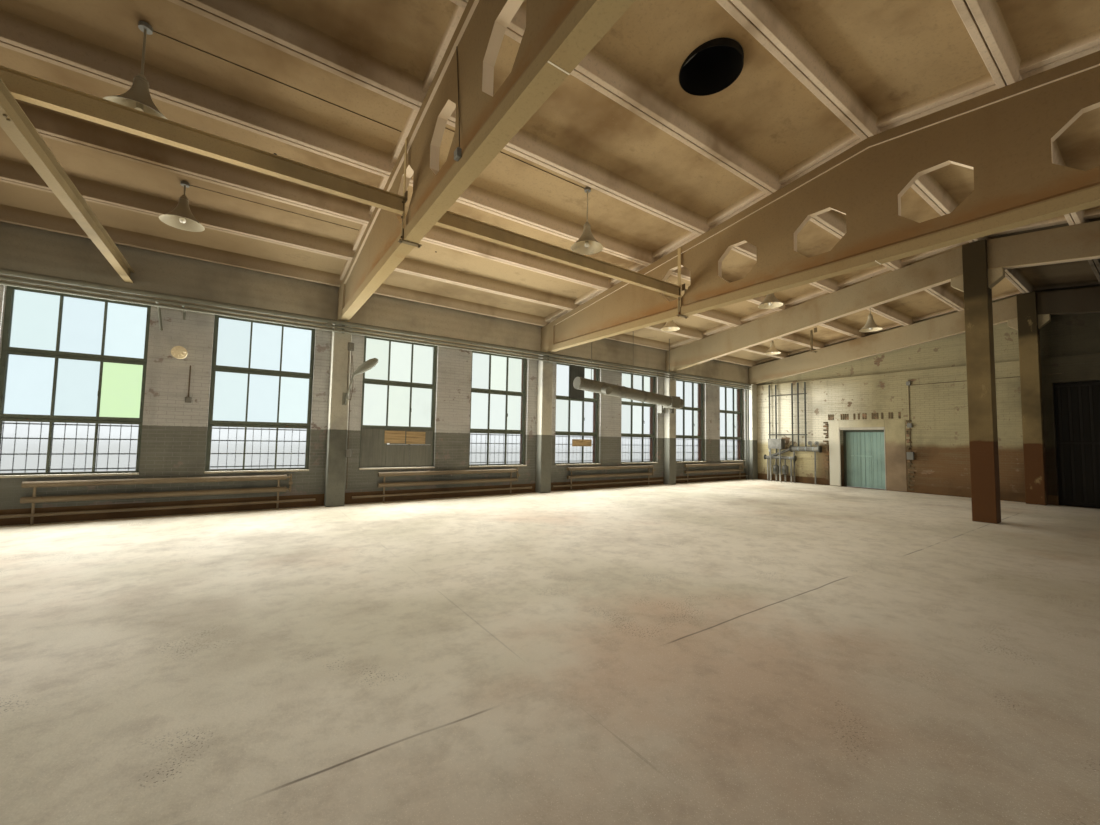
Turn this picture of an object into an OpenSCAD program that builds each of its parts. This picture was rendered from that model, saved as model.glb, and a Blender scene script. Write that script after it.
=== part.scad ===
/* [Hall] */
// Distance between two frames along the hall
bay_length = 6000; // [5600:100:6400]
// Clear width between the long walls
hall_width = 18300; // [17400:100:18800]
// Thickness of the brick walls
wall_thickness = 400; // [300:10:500]
// Top of the concrete floor above the ground
floor_level = 120; // [80:10:180]
// Height of the rendered plinth above the ground
plinth_height = 400; // [300:10:600]
// How far the plinth stands out from the wall
plinth_proud = 50; // [20:5:80]

/* [Roof] */
// Underside of the slab ribs where they meet the long walls
rib_level = 5400; // [5300:10:5700]
// Rise of the roof for each unit of run
roof_slope = 0.125; // [0.1:0.005:0.14]
// Width of one ribbed roof slab
slab_width = 1500; // [1450:10:1500]
// Full depth of a roof slab with its ribs
slab_depth = 300; // [240:10:340]
// Thickness of the slab between its ribs
slab_plate = 50; // [30:5:80]
// Width of a slab rib at its underside
rib_foot = 70; // [50:5:90]
// Width of a slab rib where it meets the plate
rib_root = 130; // [100:5:170]
// Joint between two roof slabs
slab_joint = 14; // [6:2:30]
// Thickness of the insulation and felt on the slabs
covering_thickness = 110; // [60:10:160]
// Overhang of the roof covering past the long walls
eaves_overhang = 420; // [300:10:600]
// Overhang of the roof covering past the end walls
verge_overhang = 120; // [60:10:250]
// Thickness of the cornice slabs under the eaves
cornice_thickness = 90; // [60:5:120]

/* [Frames] */
// Underside of the roof beams at the long walls
beam_soffit = 4570; // [4480:10:4680]
// Width of a gable beam
beam_width = 200; // [180:10:280]
// Thickness of a gable beam between its flanges
web_thickness = 120; // [90:5:150]
// Depth of a gable beam's top flange
top_flange = 150; // [100:10:200]
// Depth of a gable beam's bottom flange
bottom_flange = 170; // [120:10:220]
// Length of a gable beam's solid end
beam_end_block = 700; // [500:50:1200]
// Width across an eight-sided opening in a gable beam
octagon_width = 820; // [700:10:900]
// Height of an eight-sided opening in a gable beam
octagon_height = 740; // [600:10:760]
// Height of the middle of the openings above the beam's underside
octagon_rise = 760; // [740:10:800]
// Distance between two openings in a gable beam
octagon_pitch = 1500; // [1400:10:1600]
// Width of an inclined beam
inclined_width = 220; // [180:10:300]
// Depth of an inclined beam at the middle column
inclined_depth = 680; // [560:10:760]
// Width of a column along the hall
column_width = 400; // [300:10:500]
// How far a wall column stands out from the wall
column_proud = 300; // [200:10:400]
// Reach of the corbels on a middle column
corbel_reach = 240; // [160:10:320]

/* [Windows] */
// Width of a window opening
window_width = 1940; // [1700:10:2000]
// Underside of a window opening above the floor
sill_height = 830; // [700:10:1000]
// Top of a window opening above the floor
head_height = 4280; // [4100:10:4300]
// Distance from a frame to the middle of the nearest window
window_offset = 1520; // [1480:10:1540]
// Width of the outer bars of a window frame
frame_bar = 70; // [50:5:90]
// Width of the thin upright bars of a window
glazing_bar = 28; // [20:2:40]
// Middle of the lower crossbar above the floor
lower_crossbar = 1890; // [1700:10:2000]
// Middle of the upper crossbar above the floor
upper_crossbar = 3090; // [2900:10:3200]
// Width of the crossbars of a window
crossbar = 125; // [90:5:150]
// Depth of a window frame
frame_depth = 80; // [50:5:110]
// Distance from the inner face of the wall to the glass
glass_setback = 150; // [110:5:200]
// Thickness of the glass
glass_thickness = 6; // [4:1:10]

/* [Door and gateway] */
// Width of the door opening
door_width = 1500; // [1400:10:1700]
// Top of the door opening above the floor
door_height = 2270; // [2050:10:2400]
// Distance from the middle of the hall to the middle of the door
door_place = 4600; // [4200:10:5200]
// Thickness of a door leaf
leaf_thickness = 45; // [35:1:60]
// Width of the bars of the door frame
door_frame_bar = 60; // [45:5:80]
// Width of the gateway in the end wall
gateway_width = 4000; // [3200:50:4600]
// Top of the gateway above the floor
gateway_height = 3640; // [3200:10:3800]
// Distance from the middle of the hall to the middle of the gateway
gateway_place = -2400; // [-3000:50:-2400]

/* [End walls] */
// Height of the ledge on the inside of the end walls
ledge_level = 4520; // [4400:10:4550]
// How far the wall above the ledge is set back
ledge_setback = 120; // [60:10:160]
// Height of the underside of the courses that stand out below the ledge
string_course_level = 4260; // [4000:10:4380]
// How far those courses stand out
string_course_proud = 30; // [15:5:45]

/* [Steelwork] */
// Distance from the middle of the hall to a long steel beam
long_beam_place = 3600; // [3200:20:3900]
// Underside of the long steel beams
long_beam_level = 4970; // [4900:10:5000]
// Depth of the long steel beams
long_beam_depth = 220; // [180:10:240]
// Width of the flanges of the long steel beams
long_beam_width = 110; // [90:5:140]
// Place of the cross steel beam along the hall
cross_beam_place = -6850; // [-7400:50:-5000]
// Underside of the cross steel beam
cross_beam_level = 4740; // [4700:10:4750]

/* [Services] */
// Diameter of the heating pipe under the beams
main_pipe_diameter = 100; // [80:5:120]
// Diameter of the small pipes beside it
small_pipe_diameter = 60; // [45:5:70]
// Diameter of the pipes of a radiator
radiator_pipe_diameter = 110; // [80:5:130]
// Diameter of the air duct
duct_diameter = 400; // [300:10:430]
// Diameter of the shade of a pendant lamp
shade_diameter = 580; // [480:10:640]
// Height of the shade of a pendant lamp
shade_height = 420; // [340:10:480]
// Rim of the pendant lamps above the ground
lamp_level = 5260; // [5000:10:5400]
// Diameter of the roof vent's hole
vent_diameter = 800; // [600:10:900]
// Height of the roof vent above the roof
vent_height = 700; // [400:10:900]

/* [Hidden] */
$fn = 48;

bay_count = 5;
octagons_per_half = 3;
SIDES = [1, -1];

half_width = hall_width / 2;
slabs_per_slope = floor(half_width / slab_width);
half_length = bay_count * bay_length / 2;
outer_half_width = half_width + wall_thickness;
outer_half_length = half_length + wall_thickness;

// Gap that parts pieces of one node, and the hair's breadth between a piece and its seat
seat_gap = 10;
seat_clearance = 0.3;
// Overlap that fuses two shapes or lets a cut run clear
fuse = 1;
column_top = beam_soffit;
beam_end = half_width - seat_gap;
// End frames stand just inside the end walls
end_frame_gap = 20;
end_frame_inset = inclined_width / 2 + end_frame_gap;
middle_column_depth = column_width;
slab_edge = slabs_per_slope * slab_width;
seat_edge = half_width - column_proud;
inclined_start = middle_column_depth / 2;

function frame_x(i) = (i - bay_count / 2) * bay_length;
function rib_z(y) = rib_level + roof_slope * (half_width - abs(y));
function slab_top_z(y) = rib_z(y) + slab_depth;
// The beams end a hair below the ribs, and what hangs from the roof a hair below the plates
function beam_top_z(y) = rib_z(y) - seat_clearance;
function plate_z(y) = slab_top_z(y) - slab_plate - seat_clearance;

sill_z = floor_level + sill_height;
head_z = floor_level + head_height;
glass_y = half_width + glass_setback;
// Middles of the ten windows of a long wall
WINDOW_X = [for (i = [0 : bay_count - 1]) for (side = SIDES)
    side > 0 ? frame_x(i) + window_offset : frame_x(i + 1) - window_offset];

// A profile drawn in width and height, run along the hall from x0 to x1
module run_along(profile, x0, x1) {
    translate([x0, 0, 0]) rotate([90, 0, 90]) linear_extrude(x1 - x0) polygon(profile);
}

// A profile drawn in length and height, run across the hall from y0 to y1
module run_across(profile, y0, y1) {
    translate([0, y1, 0]) rotate([90, 0, 0]) linear_extrude(y1 - y0) polygon(profile);
}

// A block between two corners
module block(low, high) {
    translate(low) cube(high - low);
}

// A round bar between two points
module bar(from, to, diameter) {
    run = to - from;
    length = norm(run);
    translate(from)
        rotate([0, acos(run[2] / length), atan2(run[1], run[0])])
            cylinder(h = length, d = diameter);
}

// The same piece on both sides of the ridge line
module on_both_sides() {
    children();
    mirror([0, 1, 0]) children();
}

module floor_slab() {
    color("#b9a58a")
        block([-half_length, -half_width, 0], [half_length, half_width, floor_level]);
}

door_low = door_place - door_width / 2;
door_high = door_place + door_width / 2;
door_head_z = floor_level + door_height;
gateway_low = gateway_place - gateway_width / 2;
gateway_high = gateway_place + gateway_width / 2;
gateway_head_z = floor_level + gateway_height;

module plinth() {
    color("#8d8982") difference() {
        block([-outer_half_length - plinth_proud, -outer_half_width - plinth_proud, 0],
              [outer_half_length + plinth_proud, outer_half_width + plinth_proud, plinth_height]);
        block([-half_length, -half_width, -fuse], [half_length, half_width, plinth_height + fuse]);
        for (way = [[door_low, door_high], [gateway_low, gateway_high]])
            block([half_length - fuse, way[0], floor_level],
                  [outer_half_length + plinth_proud + fuse, way[1], plinth_height + fuse]);
    }
}

module sill_walls() {
    color("#a08c74") on_both_sides()
        block([-outer_half_length, half_width, plinth_height], [outer_half_length, outer_half_width, sill_z]);
}

// Piers stand between the windows, with one at each corner
module window_piers() {
    edges = concat([-outer_half_length], [for (x = WINDOW_X) each [x - window_width / 2, x + window_width / 2]],
                   [outer_half_length]);
    color("#b8a88c") on_both_sides() for (i = [0 : 2 : len(edges) - 1])
        block([edges[i], half_width, sill_z], [edges[i + 1], outer_half_width, head_z]);
}

covering_edge = outer_half_width + eaves_overhang;
covering_lip = 40;
cornice_edge = covering_edge - covering_lip;
cornice_z = slab_top_z(cornice_edge) - cornice_thickness;
// The cornice slabs reach in over the wall to the last roof slab
cornice_inner = slab_edge + slab_joint;
function cornice_under_z(y) = slab_top_z(y) - cornice_thickness / 2;
// The gable walls end a hair below the cornice slabs
function gable_notch_z(y) = cornice_under_z(y) - seat_clearance;

// The concrete band over the windows, run up to the underside of the cornice
module lintel_bands() {
    color("#9a8f7a") on_both_sides()
        block([-outer_half_length, half_width, head_z], [outer_half_length, outer_half_width, cornice_z]);
}

module end_wall_piece(y0, y1, z0, z1) {
    color("#ab9a7e") block([half_length, y0, z0], [outer_half_length, y1, z1]);
}

module end_wall_corner() {
    end_wall_piece(door_high, half_width, plinth_height, gateway_head_z);
}

module end_wall_middle() {
    end_wall_piece(gateway_high, door_low, plinth_height, gateway_head_z);
}

module end_wall_rear_part() {
    end_wall_piece(-half_width, gateway_low, plinth_height, gateway_head_z);
}

module end_wall_over_door() {
    end_wall_piece(door_low, door_high, door_head_z, gateway_head_z);
}

// The band over the openings, with courses that stand out a little under the ledge
module end_wall_band() {
    end_wall_piece(-half_width, half_width, gateway_head_z, ledge_level);
    color("#ab9a7e") on_both_sides()
        block([half_length - string_course_proud, inclined_start + seat_clearance, string_course_level],
              [half_length + fuse, seat_edge - seat_clearance, ledge_level]);
}

// The wall above the ledge is thinner, rises to the roof covering and is notched for the cornice slabs
GABLE_HALF = [
    [half_width, ledge_level], [half_width, gable_notch_z(half_width)],
    [cornice_inner, gable_notch_z(cornice_inner)], [cornice_inner, slab_top_z(cornice_inner)]
];
GABLE = concat(GABLE_HALF, [[0, slab_top_z(0)]],
               [for (i = [len(GABLE_HALF) - 1 : -1 : 0]) [-GABLE_HALF[i][0], GABLE_HALF[i][1]]]);

module end_gable_far() {
    color("#8f8268") run_along(GABLE, half_length + ledge_setback, outer_half_length);
}

module end_wall_near() {
    color("#8f8268") {
        block([-outer_half_length, -half_width, plinth_height], [-half_length, half_width, ledge_level]);
        run_along(GABLE, -outer_half_length, -half_length - ledge_setback);
    }
}

module wall_columns() {
    color("#8e8974") on_both_sides() for (i = [0 : bay_count]) {
        inset = i == 0 ? end_frame_inset : i == bay_count ? -end_frame_inset : 0;
        x = frame_x(i) + inset;
        side = i == 0 ? 1 : i == bay_count ? -1 : 0;
        shift = side * (column_width / 2 - end_frame_inset);
        block([x + shift - column_width / 2, half_width - column_proud, floor_level],
              [x + shift + column_width / 2, half_width, column_top]);
    }
}

// Underside of an inclined beam between its seat on the wall column and the middle column
inclined_low_z = rib_z(inclined_start) - inclined_depth;
function inclined_z(y) = inclined_low_z
    + (y - inclined_start) / (seat_edge - inclined_start) * (beam_soffit - inclined_low_z);

INCLINED = [
    [inclined_start, inclined_low_z], [seat_edge, beam_soffit], [beam_end, beam_soffit],
    [beam_end, beam_top_z(beam_end)], [inclined_start, beam_top_z(inclined_start)]
];

// Places of the frames that stand on a middle column
INCLINED_X = [frame_x(0) + end_frame_inset, frame_x(bay_count - 1), frame_x(bay_count) - end_frame_inset];

module inclined_beams() {
    color("#a3947a") on_both_sides() for (x = INCLINED_X)
        run_along(INCLINED, x - inclined_width / 2, x + inclined_width / 2);
}

corbel_depth = 420;
corbel_nose = 180;
module middle_columns() {
    corbel_end = inclined_start + corbel_reach;
    color("#7d6a4c") for (x = INCLINED_X) {
        side = x < 0 ? 1 : x > frame_x(bay_count - 1) ? -1 : 0;
        middle = x + side * (column_width / 2 - end_frame_inset);
        block([middle - column_width / 2, -inclined_start, floor_level],
              [middle + column_width / 2, inclined_start, beam_top_z(inclined_start)]);
        on_both_sides() run_along(
            [[0, inclined_low_z - corbel_depth], [inclined_start, inclined_low_z - corbel_depth],
             [corbel_end, inclined_z(corbel_end) - corbel_nose],
             [corbel_end, inclined_z(corbel_end) - seat_clearance],
             [inclined_start, inclined_low_z - seat_clearance], [0, inclined_low_z - seat_clearance]],
            x - inclined_width / 2, x + inclined_width / 2);
    }
}

octagon_z = beam_soffit + octagon_rise;
haunch_rise = 45;
// Corner cut of an eight-sided opening, as a share of its size
octagon_cut = 0.293;
// Its four upright and four level edges, as the sides on which their ends lie
OCTAGON_ENDS = [
    [1, 1, 0], [1, 1, 1], [-1, 1, 1], [-1, 1, 0], [-1, -1, 0], [-1, -1, 1], [1, -1, 1], [1, -1, 0]
];
function octagon(w, h) = [for (c = OCTAGON_ENDS) c[2] == 0
    ? [c[0] * w / 2, c[1] * (0.5 - octagon_cut) * h]
    : [c[0] * (0.5 - octagon_cut) * w, c[1] * h / 2]];

// Gable beam: level underside, sloping top, flanges round a thinner web, eight-sided openings
module gable_beam(x) {
    panel_end = beam_end - beam_end_block;
    panel = [
        [-panel_end, beam_soffit + bottom_flange], [panel_end, beam_soffit + bottom_flange],
        [panel_end, rib_z(panel_end) - top_flange], [0, rib_z(0) - top_flange],
        [-panel_end, rib_z(panel_end) - top_flange]
    ];
    color("#a99a80") {
        difference() {
            run_along([
                [-beam_end, beam_soffit], [beam_end, beam_soffit], [beam_end, beam_top_z(beam_end)],
                [0, beam_top_z(0)], [-beam_end, beam_top_z(beam_end)]
            ], x - beam_width / 2, x + beam_width / 2);
            run_along(panel, x - beam_width, x - web_thickness / 2);
            run_along(panel, x + web_thickness / 2, x + beam_width);
            for (side = SIDES) for (k = [0 : octagons_per_half - 1])
                translate([0, side * (k + 0.5) * octagon_pitch, octagon_z])
                    run_along(octagon(octagon_width, octagon_height), x - beam_width, x + beam_width);
        }
        run_across(haunch(x), -panel_end - fuse, panel_end + fuse);
    }
}

// Sloping shoulders between a gable beam's bottom flange and its web
function haunch(x) =
    let (low = beam_soffit + bottom_flange - fuse, w = beam_width / 2, t = web_thickness / 2 - fuse)
    [[x - w, low], [x + w, low], [x + w, low + fuse], [x + t, low + haunch_rise], [x - t, low + haunch_rise],
     [x - w, low + fuse]];

module gable_beam_1() {
    gable_beam(frame_x(1));
}

module gable_beam_2() {
    gable_beam(frame_x(2));
}

module gable_beam_3() {
    gable_beam(frame_x(3));
}

// Ribbed slab: two long ribs with sloping inner faces and a lower rib at each end
end_rib = 110;
end_rib_depth = 170;
function slab_section(y0) =
    let (a = y0 + slab_joint / 2, b = y0 + slab_width - slab_joint / 2, t = slab_depth - slab_plate)
    [for (p = [[a, 0], [a + rib_foot, 0], [a + rib_root, t], [b - rib_root, t], [b - rib_foot, 0], [b, 0],
               [b, slab_depth], [a, slab_depth]])
        [p[0], rib_z(p[0]) + p[1]]];
function slab_end_section(y0) =
    let (a = y0 + slab_joint / 2, b = y0 + slab_width - slab_joint / 2)
    [for (p = [[a, slab_depth - end_rib_depth], [b, slab_depth - end_rib_depth],
               [b, slab_depth], [a, slab_depth]])
        [p[0], rib_z(p[0]) + p[1]]];

vent_x = 0;
vent_y = slab_width / 2;

module roof_slab(y0, x0, x1) {
    run_along(slab_section(y0), x0, x1);
    run_along(slab_end_section(y0), x0, x0 + end_rib);
    run_along(slab_end_section(y0), x1 - end_rib, x1);
}

module roof_slabs(bay) {
    x0 = bay == 0 ? -half_length - ledge_setback + seat_gap : frame_x(bay) + slab_joint / 2;
    x1 = bay == bay_count - 1 ? half_length + ledge_setback - seat_gap : frame_x(bay + 1) - slab_joint / 2;
    color("#a58f6c") difference() {
        on_both_sides() for (k = [0 : slabs_per_slope - 1]) roof_slab(k * slab_width, x0, x1);
        translate([vent_x, vent_y, rib_level]) cylinder(h = rib_level, d = vent_diameter);
    }
}

module roof_slabs_bay_1() {
    roof_slabs(0);
}

module roof_slabs_bay_2() {
    roof_slabs(1);
}

module roof_slabs_bay_3() {
    roof_slabs(2);
}

module roof_slabs_bay_4() {
    roof_slabs(3);
}

module roof_slabs_bay_5() {
    roof_slabs(4);
}

function covering_under_z(y) = slab_top_z(y) + seat_clearance;
COVERING = [
    [0, covering_under_z(0)], [covering_edge, covering_under_z(covering_edge)],
    [covering_edge, slab_top_z(covering_edge) + covering_thickness], [0, slab_top_z(0) + covering_thickness]
];

module roof_covering() {
    reach = outer_half_length + verge_overhang;
    color("#5f5f5c") difference() {
        run_along(COVERING, -reach, reach);
        translate([vent_x, vent_y, rib_level]) cylinder(h = rib_level, d = vent_diameter);
    }
}

module roof_covering_front() {
    roof_covering();
}

module roof_covering_rear() {
    color("#5f5f5c") mirror([0, 1, 0])
        run_along(COVERING, -outer_half_length - verge_overhang, outer_half_length + verge_overhang);
}

// Cornice slabs lie on the long walls and carry the eaves
module eaves_cornices() {
    color("#9c9484") on_both_sides()
        run_along([[half_width, cornice_z], [cornice_edge, cornice_z], [cornice_edge, slab_top_z(cornice_edge)],
                   [cornice_inner, slab_top_z(cornice_inner)], [cornice_inner, cornice_under_z(cornice_inner)],
                   [half_width, cornice_under_z(half_width)]],
                  -outer_half_length, outer_half_length);
}

gutter_diameter = 150;
gutter_wall = 5;
gutter_bracket = 30;
bracket_pitch = 1500;
downpipe_diameter = 110;
neck_diameter = 102;
socket_overlap = 20;
clamp_height = 40;
gutter_drop = 10;
gutter_end_gap = 20;
pipe_wall_gap = 6;
gutter_y = covering_edge + gutter_diameter / 2 + seat_clearance;
gutter_z = slab_top_z(covering_edge) - gutter_drop;
pipe_y = outer_half_width + plinth_proud + downpipe_diameter / 2 + pipe_wall_gap;

// From the gutter's outlet straight down, back under the eaves, and down the wall
module downpipe(x) {
    outlet_z = gutter_z - gutter_diameter / 5;
    neck_top = cornice_z - downpipe_diameter;
    neck_bottom = neck_top - (gutter_y - pipe_y);
    bar([x, gutter_y, neck_top], [x, gutter_y, outlet_z], downpipe_diameter, $fn = 12);
    bar([x, pipe_y, neck_bottom], [x, gutter_y, neck_top + socket_overlap], neck_diameter, $fn = 12);
    bar([x, pipe_y, plinth_height / 2], [x, pipe_y, neck_bottom + socket_overlap], downpipe_diameter, $fn = 12);
    for (z = [sill_z, head_z - clamp_height])
        block([x - clamp_height / 2, outer_half_width + seat_clearance, z],
              [x + clamp_height / 2, pipe_y, z + clamp_height]);
}

// Half-round gutters on brackets, with a downpipe near each corner
module rainwater_pipes() {
    reach = outer_half_length + verge_overhang - gutter_end_gap;
    pipe_x = outer_half_length - 2 * downpipe_diameter;
    bracket_reach = floor(reach / bracket_pitch) * bracket_pitch;
    color("#7c8084") on_both_sides() {
        translate([-reach, gutter_y, gutter_z]) rotate([90, 0, 90]) linear_extrude(2 * reach) difference() {
            circle(d = gutter_diameter, $fn = 12);
            circle(d = gutter_diameter - 2 * gutter_wall, $fn = 12);
            translate([-gutter_diameter, 0]) square([2 * gutter_diameter, gutter_diameter]);
        }
        for (x = [-bracket_reach : bracket_pitch : bracket_reach])
            block([x - gutter_bracket / 2, cornice_edge + seat_clearance, gutter_z - gutter_diameter / 3],
                  [x + gutter_bracket / 2, gutter_y - gutter_diameter / 3, gutter_z - gutter_diameter / 5]);
        for (x = [-pipe_x, pipe_x]) downpipe(x);
    }
}

vent_wall = 6;
vent_fit = 4;
vent_cap_overhang = 130;
vent_cap_gap = 160;
vent_cap_height = 240;
vent_cap_tip = 120;
vent_strap = 30;
flashing_width = 90;
flashing_height = 160;
// Tube through the roof with a flashing collar on the covering and a cone cap on straps
module roof_vent() {
    top = slab_top_z(vent_y) + covering_thickness + vent_height;
    bottom = plate_z(vent_y + vent_diameter / 2);
    outer = vent_diameter - vent_fit;
    collar = vent_diameter + 2 * flashing_width;
    collar_low = slab_top_z(vent_y + collar / 2);
    color("#6f7274") {
        translate([vent_x, vent_y, 0]) {
            difference() {
                translate([0, 0, bottom]) cylinder(h = top - bottom, d = outer);
                translate([0, 0, bottom - fuse])
                    cylinder(h = top - bottom + 2 * fuse, d = outer - 2 * vent_wall);
            }
            for (a = [0 : 90 : 270]) rotate(a)
                block([outer / 2 - 2 * vent_strap, -vent_strap / 2, top - vent_cap_gap],
                      [outer / 2 - fuse, vent_strap / 2, top + vent_cap_gap]);
            translate([0, 0, top + vent_cap_gap])
                cylinder(h = vent_cap_height, d1 = vent_diameter + 2 * vent_cap_overhang, d2 = vent_cap_tip);
        }
        difference() {
            translate([vent_x, vent_y, collar_low])
                cylinder(h = slab_top_z(0) + covering_thickness + flashing_height - collar_low, d = collar);
            translate([vent_x, vent_y, collar_low - fuse])
                cylinder(h = vent_height + top - collar_low, d = outer - 2 * fuse);
            run_along([[-collar, 0], [2 * collar, 0],
                       [2 * collar, slab_top_z(2 * collar) + covering_thickness + seat_clearance],
                       [0, slab_top_z(0) + covering_thickness + seat_clearance],
                       [-collar, slab_top_z(0) + covering_thickness + seat_clearance]],
                      vent_x - collar, vent_x + collar);
        }
    }
}

// One frame with nine lights: two crossbars and two thin uprights
module window_frame(x) {
    w = window_width / 2;
    light_edges = [-w + frame_bar, -w + frame_bar + (window_width - 2 * frame_bar) / 3,
                   w - frame_bar - (window_width - 2 * frame_bar) / 3, w - frame_bar];
    rows = [[sill_z + frame_bar, floor_level + lower_crossbar - crossbar / 2],
            [floor_level + lower_crossbar + crossbar / 2, floor_level + upper_crossbar - crossbar / 2],
            [floor_level + upper_crossbar + crossbar / 2, head_z - frame_bar]];
    difference() {
        block([x - w, glass_y - frame_depth / 2, sill_z], [x + w, glass_y + frame_depth / 2, head_z]);
        for (row = rows) for (i = [0 : 2])
            block([x + light_edges[i] + (i > 0 ? glazing_bar / 2 : 0), glass_y - frame_depth, row[0]],
                  [x + light_edges[i + 1] - (i < 2 ? glazing_bar / 2 : 0), glass_y + frame_depth, row[1]]);
        block([x - w + frame_bar / 2, glass_y - glass_thickness / 2, sill_z + frame_bar / 2],
              [x + w - frame_bar / 2, glass_y + glass_thickness / 2, head_z - frame_bar / 2]);
    }
}

module window_frames() {
    color("#4d5240") on_both_sides() for (x = WINDOW_X) window_frame(x);
}

module window_glass() {
    color("#dfe9e4") on_both_sides() for (x = WINDOW_X)
        block([x - window_width / 2 + frame_bar / 2, glass_y - glass_thickness / 2, sill_z + frame_bar / 2],
              [x + window_width / 2 - frame_bar / 2, glass_y + glass_thickness / 2, head_z - frame_bar / 2]);
}

sill_board = 40;
sill_board_proud = 45;
outer_sill_rise = 25;
outer_sill_proud = 70;
side_play = 2;
module window_sills() {
    color("#cfc8b8") on_both_sides() for (x = WINDOW_X) {
        block([x - window_width / 2 + side_play, half_width - sill_board_proud, sill_z],
              [x + window_width / 2 - side_play, glass_y - frame_depth / 2, sill_z + sill_board]);
        outer_sill(x);
    }
}

// Sheet sill outside, falling away from the frame
module outer_sill(x) {
    y0 = glass_y + frame_depth / 2;
    y1 = outer_half_width + outer_sill_proud;
    run_along([[y0, sill_z], [outer_half_width + seat_clearance, sill_z],
               [outer_half_width + seat_clearance, sill_z - outer_sill_rise],
               [y1, sill_z - outer_sill_rise], [y1, sill_z], [y0, sill_z + outer_sill_rise]],
              x - window_width / 2 + side_play, x + window_width / 2 - side_play);
}

// The lowest lights of the third window in view are closed with boards
boarded_x = frame_x(2) + window_offset;
board_thickness = 12;
board_gap = 4;
upper_board = 416;
upper_board_inset = [90, 40];
module window_boards() {
    y = glass_y - frame_depth / 2 - board_thickness;
    w = window_width / 2 - frame_bar / 2;
    top = floor_level + lower_crossbar;
    color("#5c574b") {
        block([boarded_x - w, y, sill_z + sill_board], [boarded_x - w / 3, y + board_thickness, top]);
        for (x = [[-w / 3, w / 3], [w / 3, w]])
            block([boarded_x + x[0] + board_gap, y, sill_z + sill_board],
                  [boarded_x + x[1], y + board_thickness, top - upper_board - board_gap]);
        block([boarded_x - w / 3 + upper_board_inset[0], y, top - upper_board],
              [boarded_x + w / 3 - upper_board_inset[1], y + board_thickness, top]);
        block([boarded_x + w / 3, y, top - upper_board], [boarded_x + w, y + board_thickness, top]);
    }
}

// The double door stands near the outer face of the wall and opens outwards
leaf_gap = 5;
leaf_setback = 30;
threshold_gap = 12;
meeting_gap = 3;
pin_reach = 12;
leaf_face_x = outer_half_length - leaf_setback;
leaf_back_x = leaf_face_x - leaf_thickness;
leaf_low_z = floor_level + threshold_gap;
leaf_high_z = door_head_z - door_frame_bar - leaf_gap;
hinge_x = outer_half_length + pin_reach;
pin_diameter = 14;
eye_diameter = 32;
eye_clearance = 0.8;
eye_height = 60;
strap_length = 520;
strap_thickness = 8;
strap_height = 46;
hinge_from_foot = 260;
hinge_from_head = 320;
HINGE_Z = [leaf_low_z + hinge_from_foot, leaf_high_z - hinge_from_head];
hinge_inset = door_frame_bar + leaf_gap - meeting_gap;
frame_setback = 8;
stop_width = 22;
stop_depth = 30;
// A hinge pin stands on a plate below its eye and ends a little above it
pin_plate_drop = 24;
pin_plate_thickness = 18;
pin_plate_length = 34;
pin_above_eye = 10;
plate_hold = 10;

module door_frame() {
    x0 = leaf_back_x - leaf_gap - stop_depth;
    x1 = outer_half_length - frame_setback;
    clear_low = door_low + door_frame_bar;
    clear_high = door_high - door_frame_bar;
    clear_head = door_head_z - door_frame_bar;
    color("#3f4a42") {
        difference() {
            block([x0, door_low, floor_level], [x1, door_high, door_head_z]);
            block([x0 - fuse, clear_low, floor_level - fuse], [x1 + fuse, clear_high, clear_head]);
        }
        difference() {
            block([x0, clear_low - fuse, floor_level], [x0 + stop_depth, clear_high + fuse, clear_head + fuse]);
            block([x0 - fuse, clear_low + stop_width, floor_level - fuse],
                  [x0 + stop_depth + fuse, clear_high - stop_width, clear_head - stop_width]);
        }
        for (side = SIDES) for (z = HINGE_Z) {
            y = door_place + side * (door_width / 2 - hinge_inset);
            plate_end = y + side * pin_plate_length;
            translate([hinge_x, y, z - pin_plate_drop])
                cylinder(h = pin_plate_drop + eye_height + pin_above_eye, d = pin_diameter);
            block([x1 - plate_hold, min(y, plate_end), z - pin_plate_drop],
                  [hinge_x + pin_diameter / 2, max(y, plate_end), z - pin_plate_drop + pin_plate_thickness]);
        }
    }
}

module door_leaf(side) {
    hinge_y = door_place + side * (door_width / 2 - hinge_inset);
    outer_y = door_place + side * (door_width / 2 - door_frame_bar - leaf_gap);
    inner_y = door_place + side * meeting_gap;
    strap_end = hinge_y - side * strap_length;
    knuckle_end = hinge_y - side * pin_diameter;
    strap_low = (eye_height - strap_height) / 2;
    color("#3d7f7a") {
        block([leaf_back_x, min(outer_y, inner_y), leaf_low_z],
              [leaf_face_x, max(outer_y, inner_y), leaf_high_z]);
        for (z = HINGE_Z) difference() {
            union() {
                translate([hinge_x, hinge_y, z]) cylinder(h = eye_height, d = eye_diameter);
                block([leaf_face_x - fuse, min(hinge_y, strap_end), z + strap_low],
                      [leaf_face_x + strap_thickness, max(hinge_y, strap_end), z + strap_low + strap_height]);
                block([leaf_face_x, min(hinge_y, knuckle_end), z + strap_low],
                      [hinge_x, max(hinge_y, knuckle_end), z + strap_low + strap_height]);
            }
            translate([hinge_x, hinge_y, z - fuse])
                cylinder(h = eye_height + 2 * fuse, d = pin_diameter + 2 * eye_clearance);
        }
    }
}

module door_leaf_left() {
    door_leaf(1);
}

module door_leaf_right() {
    door_leaf(-1);
}

closing_thickness = 60;
closing_setback = 200;
module gateway_closing() {
    x0 = half_length + closing_setback;
    color("#241f1a")
        block([x0, gateway_low + side_play, floor_level],
              [x0 + closing_thickness, gateway_high - side_play, gateway_head_z - side_play]);
}

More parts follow.
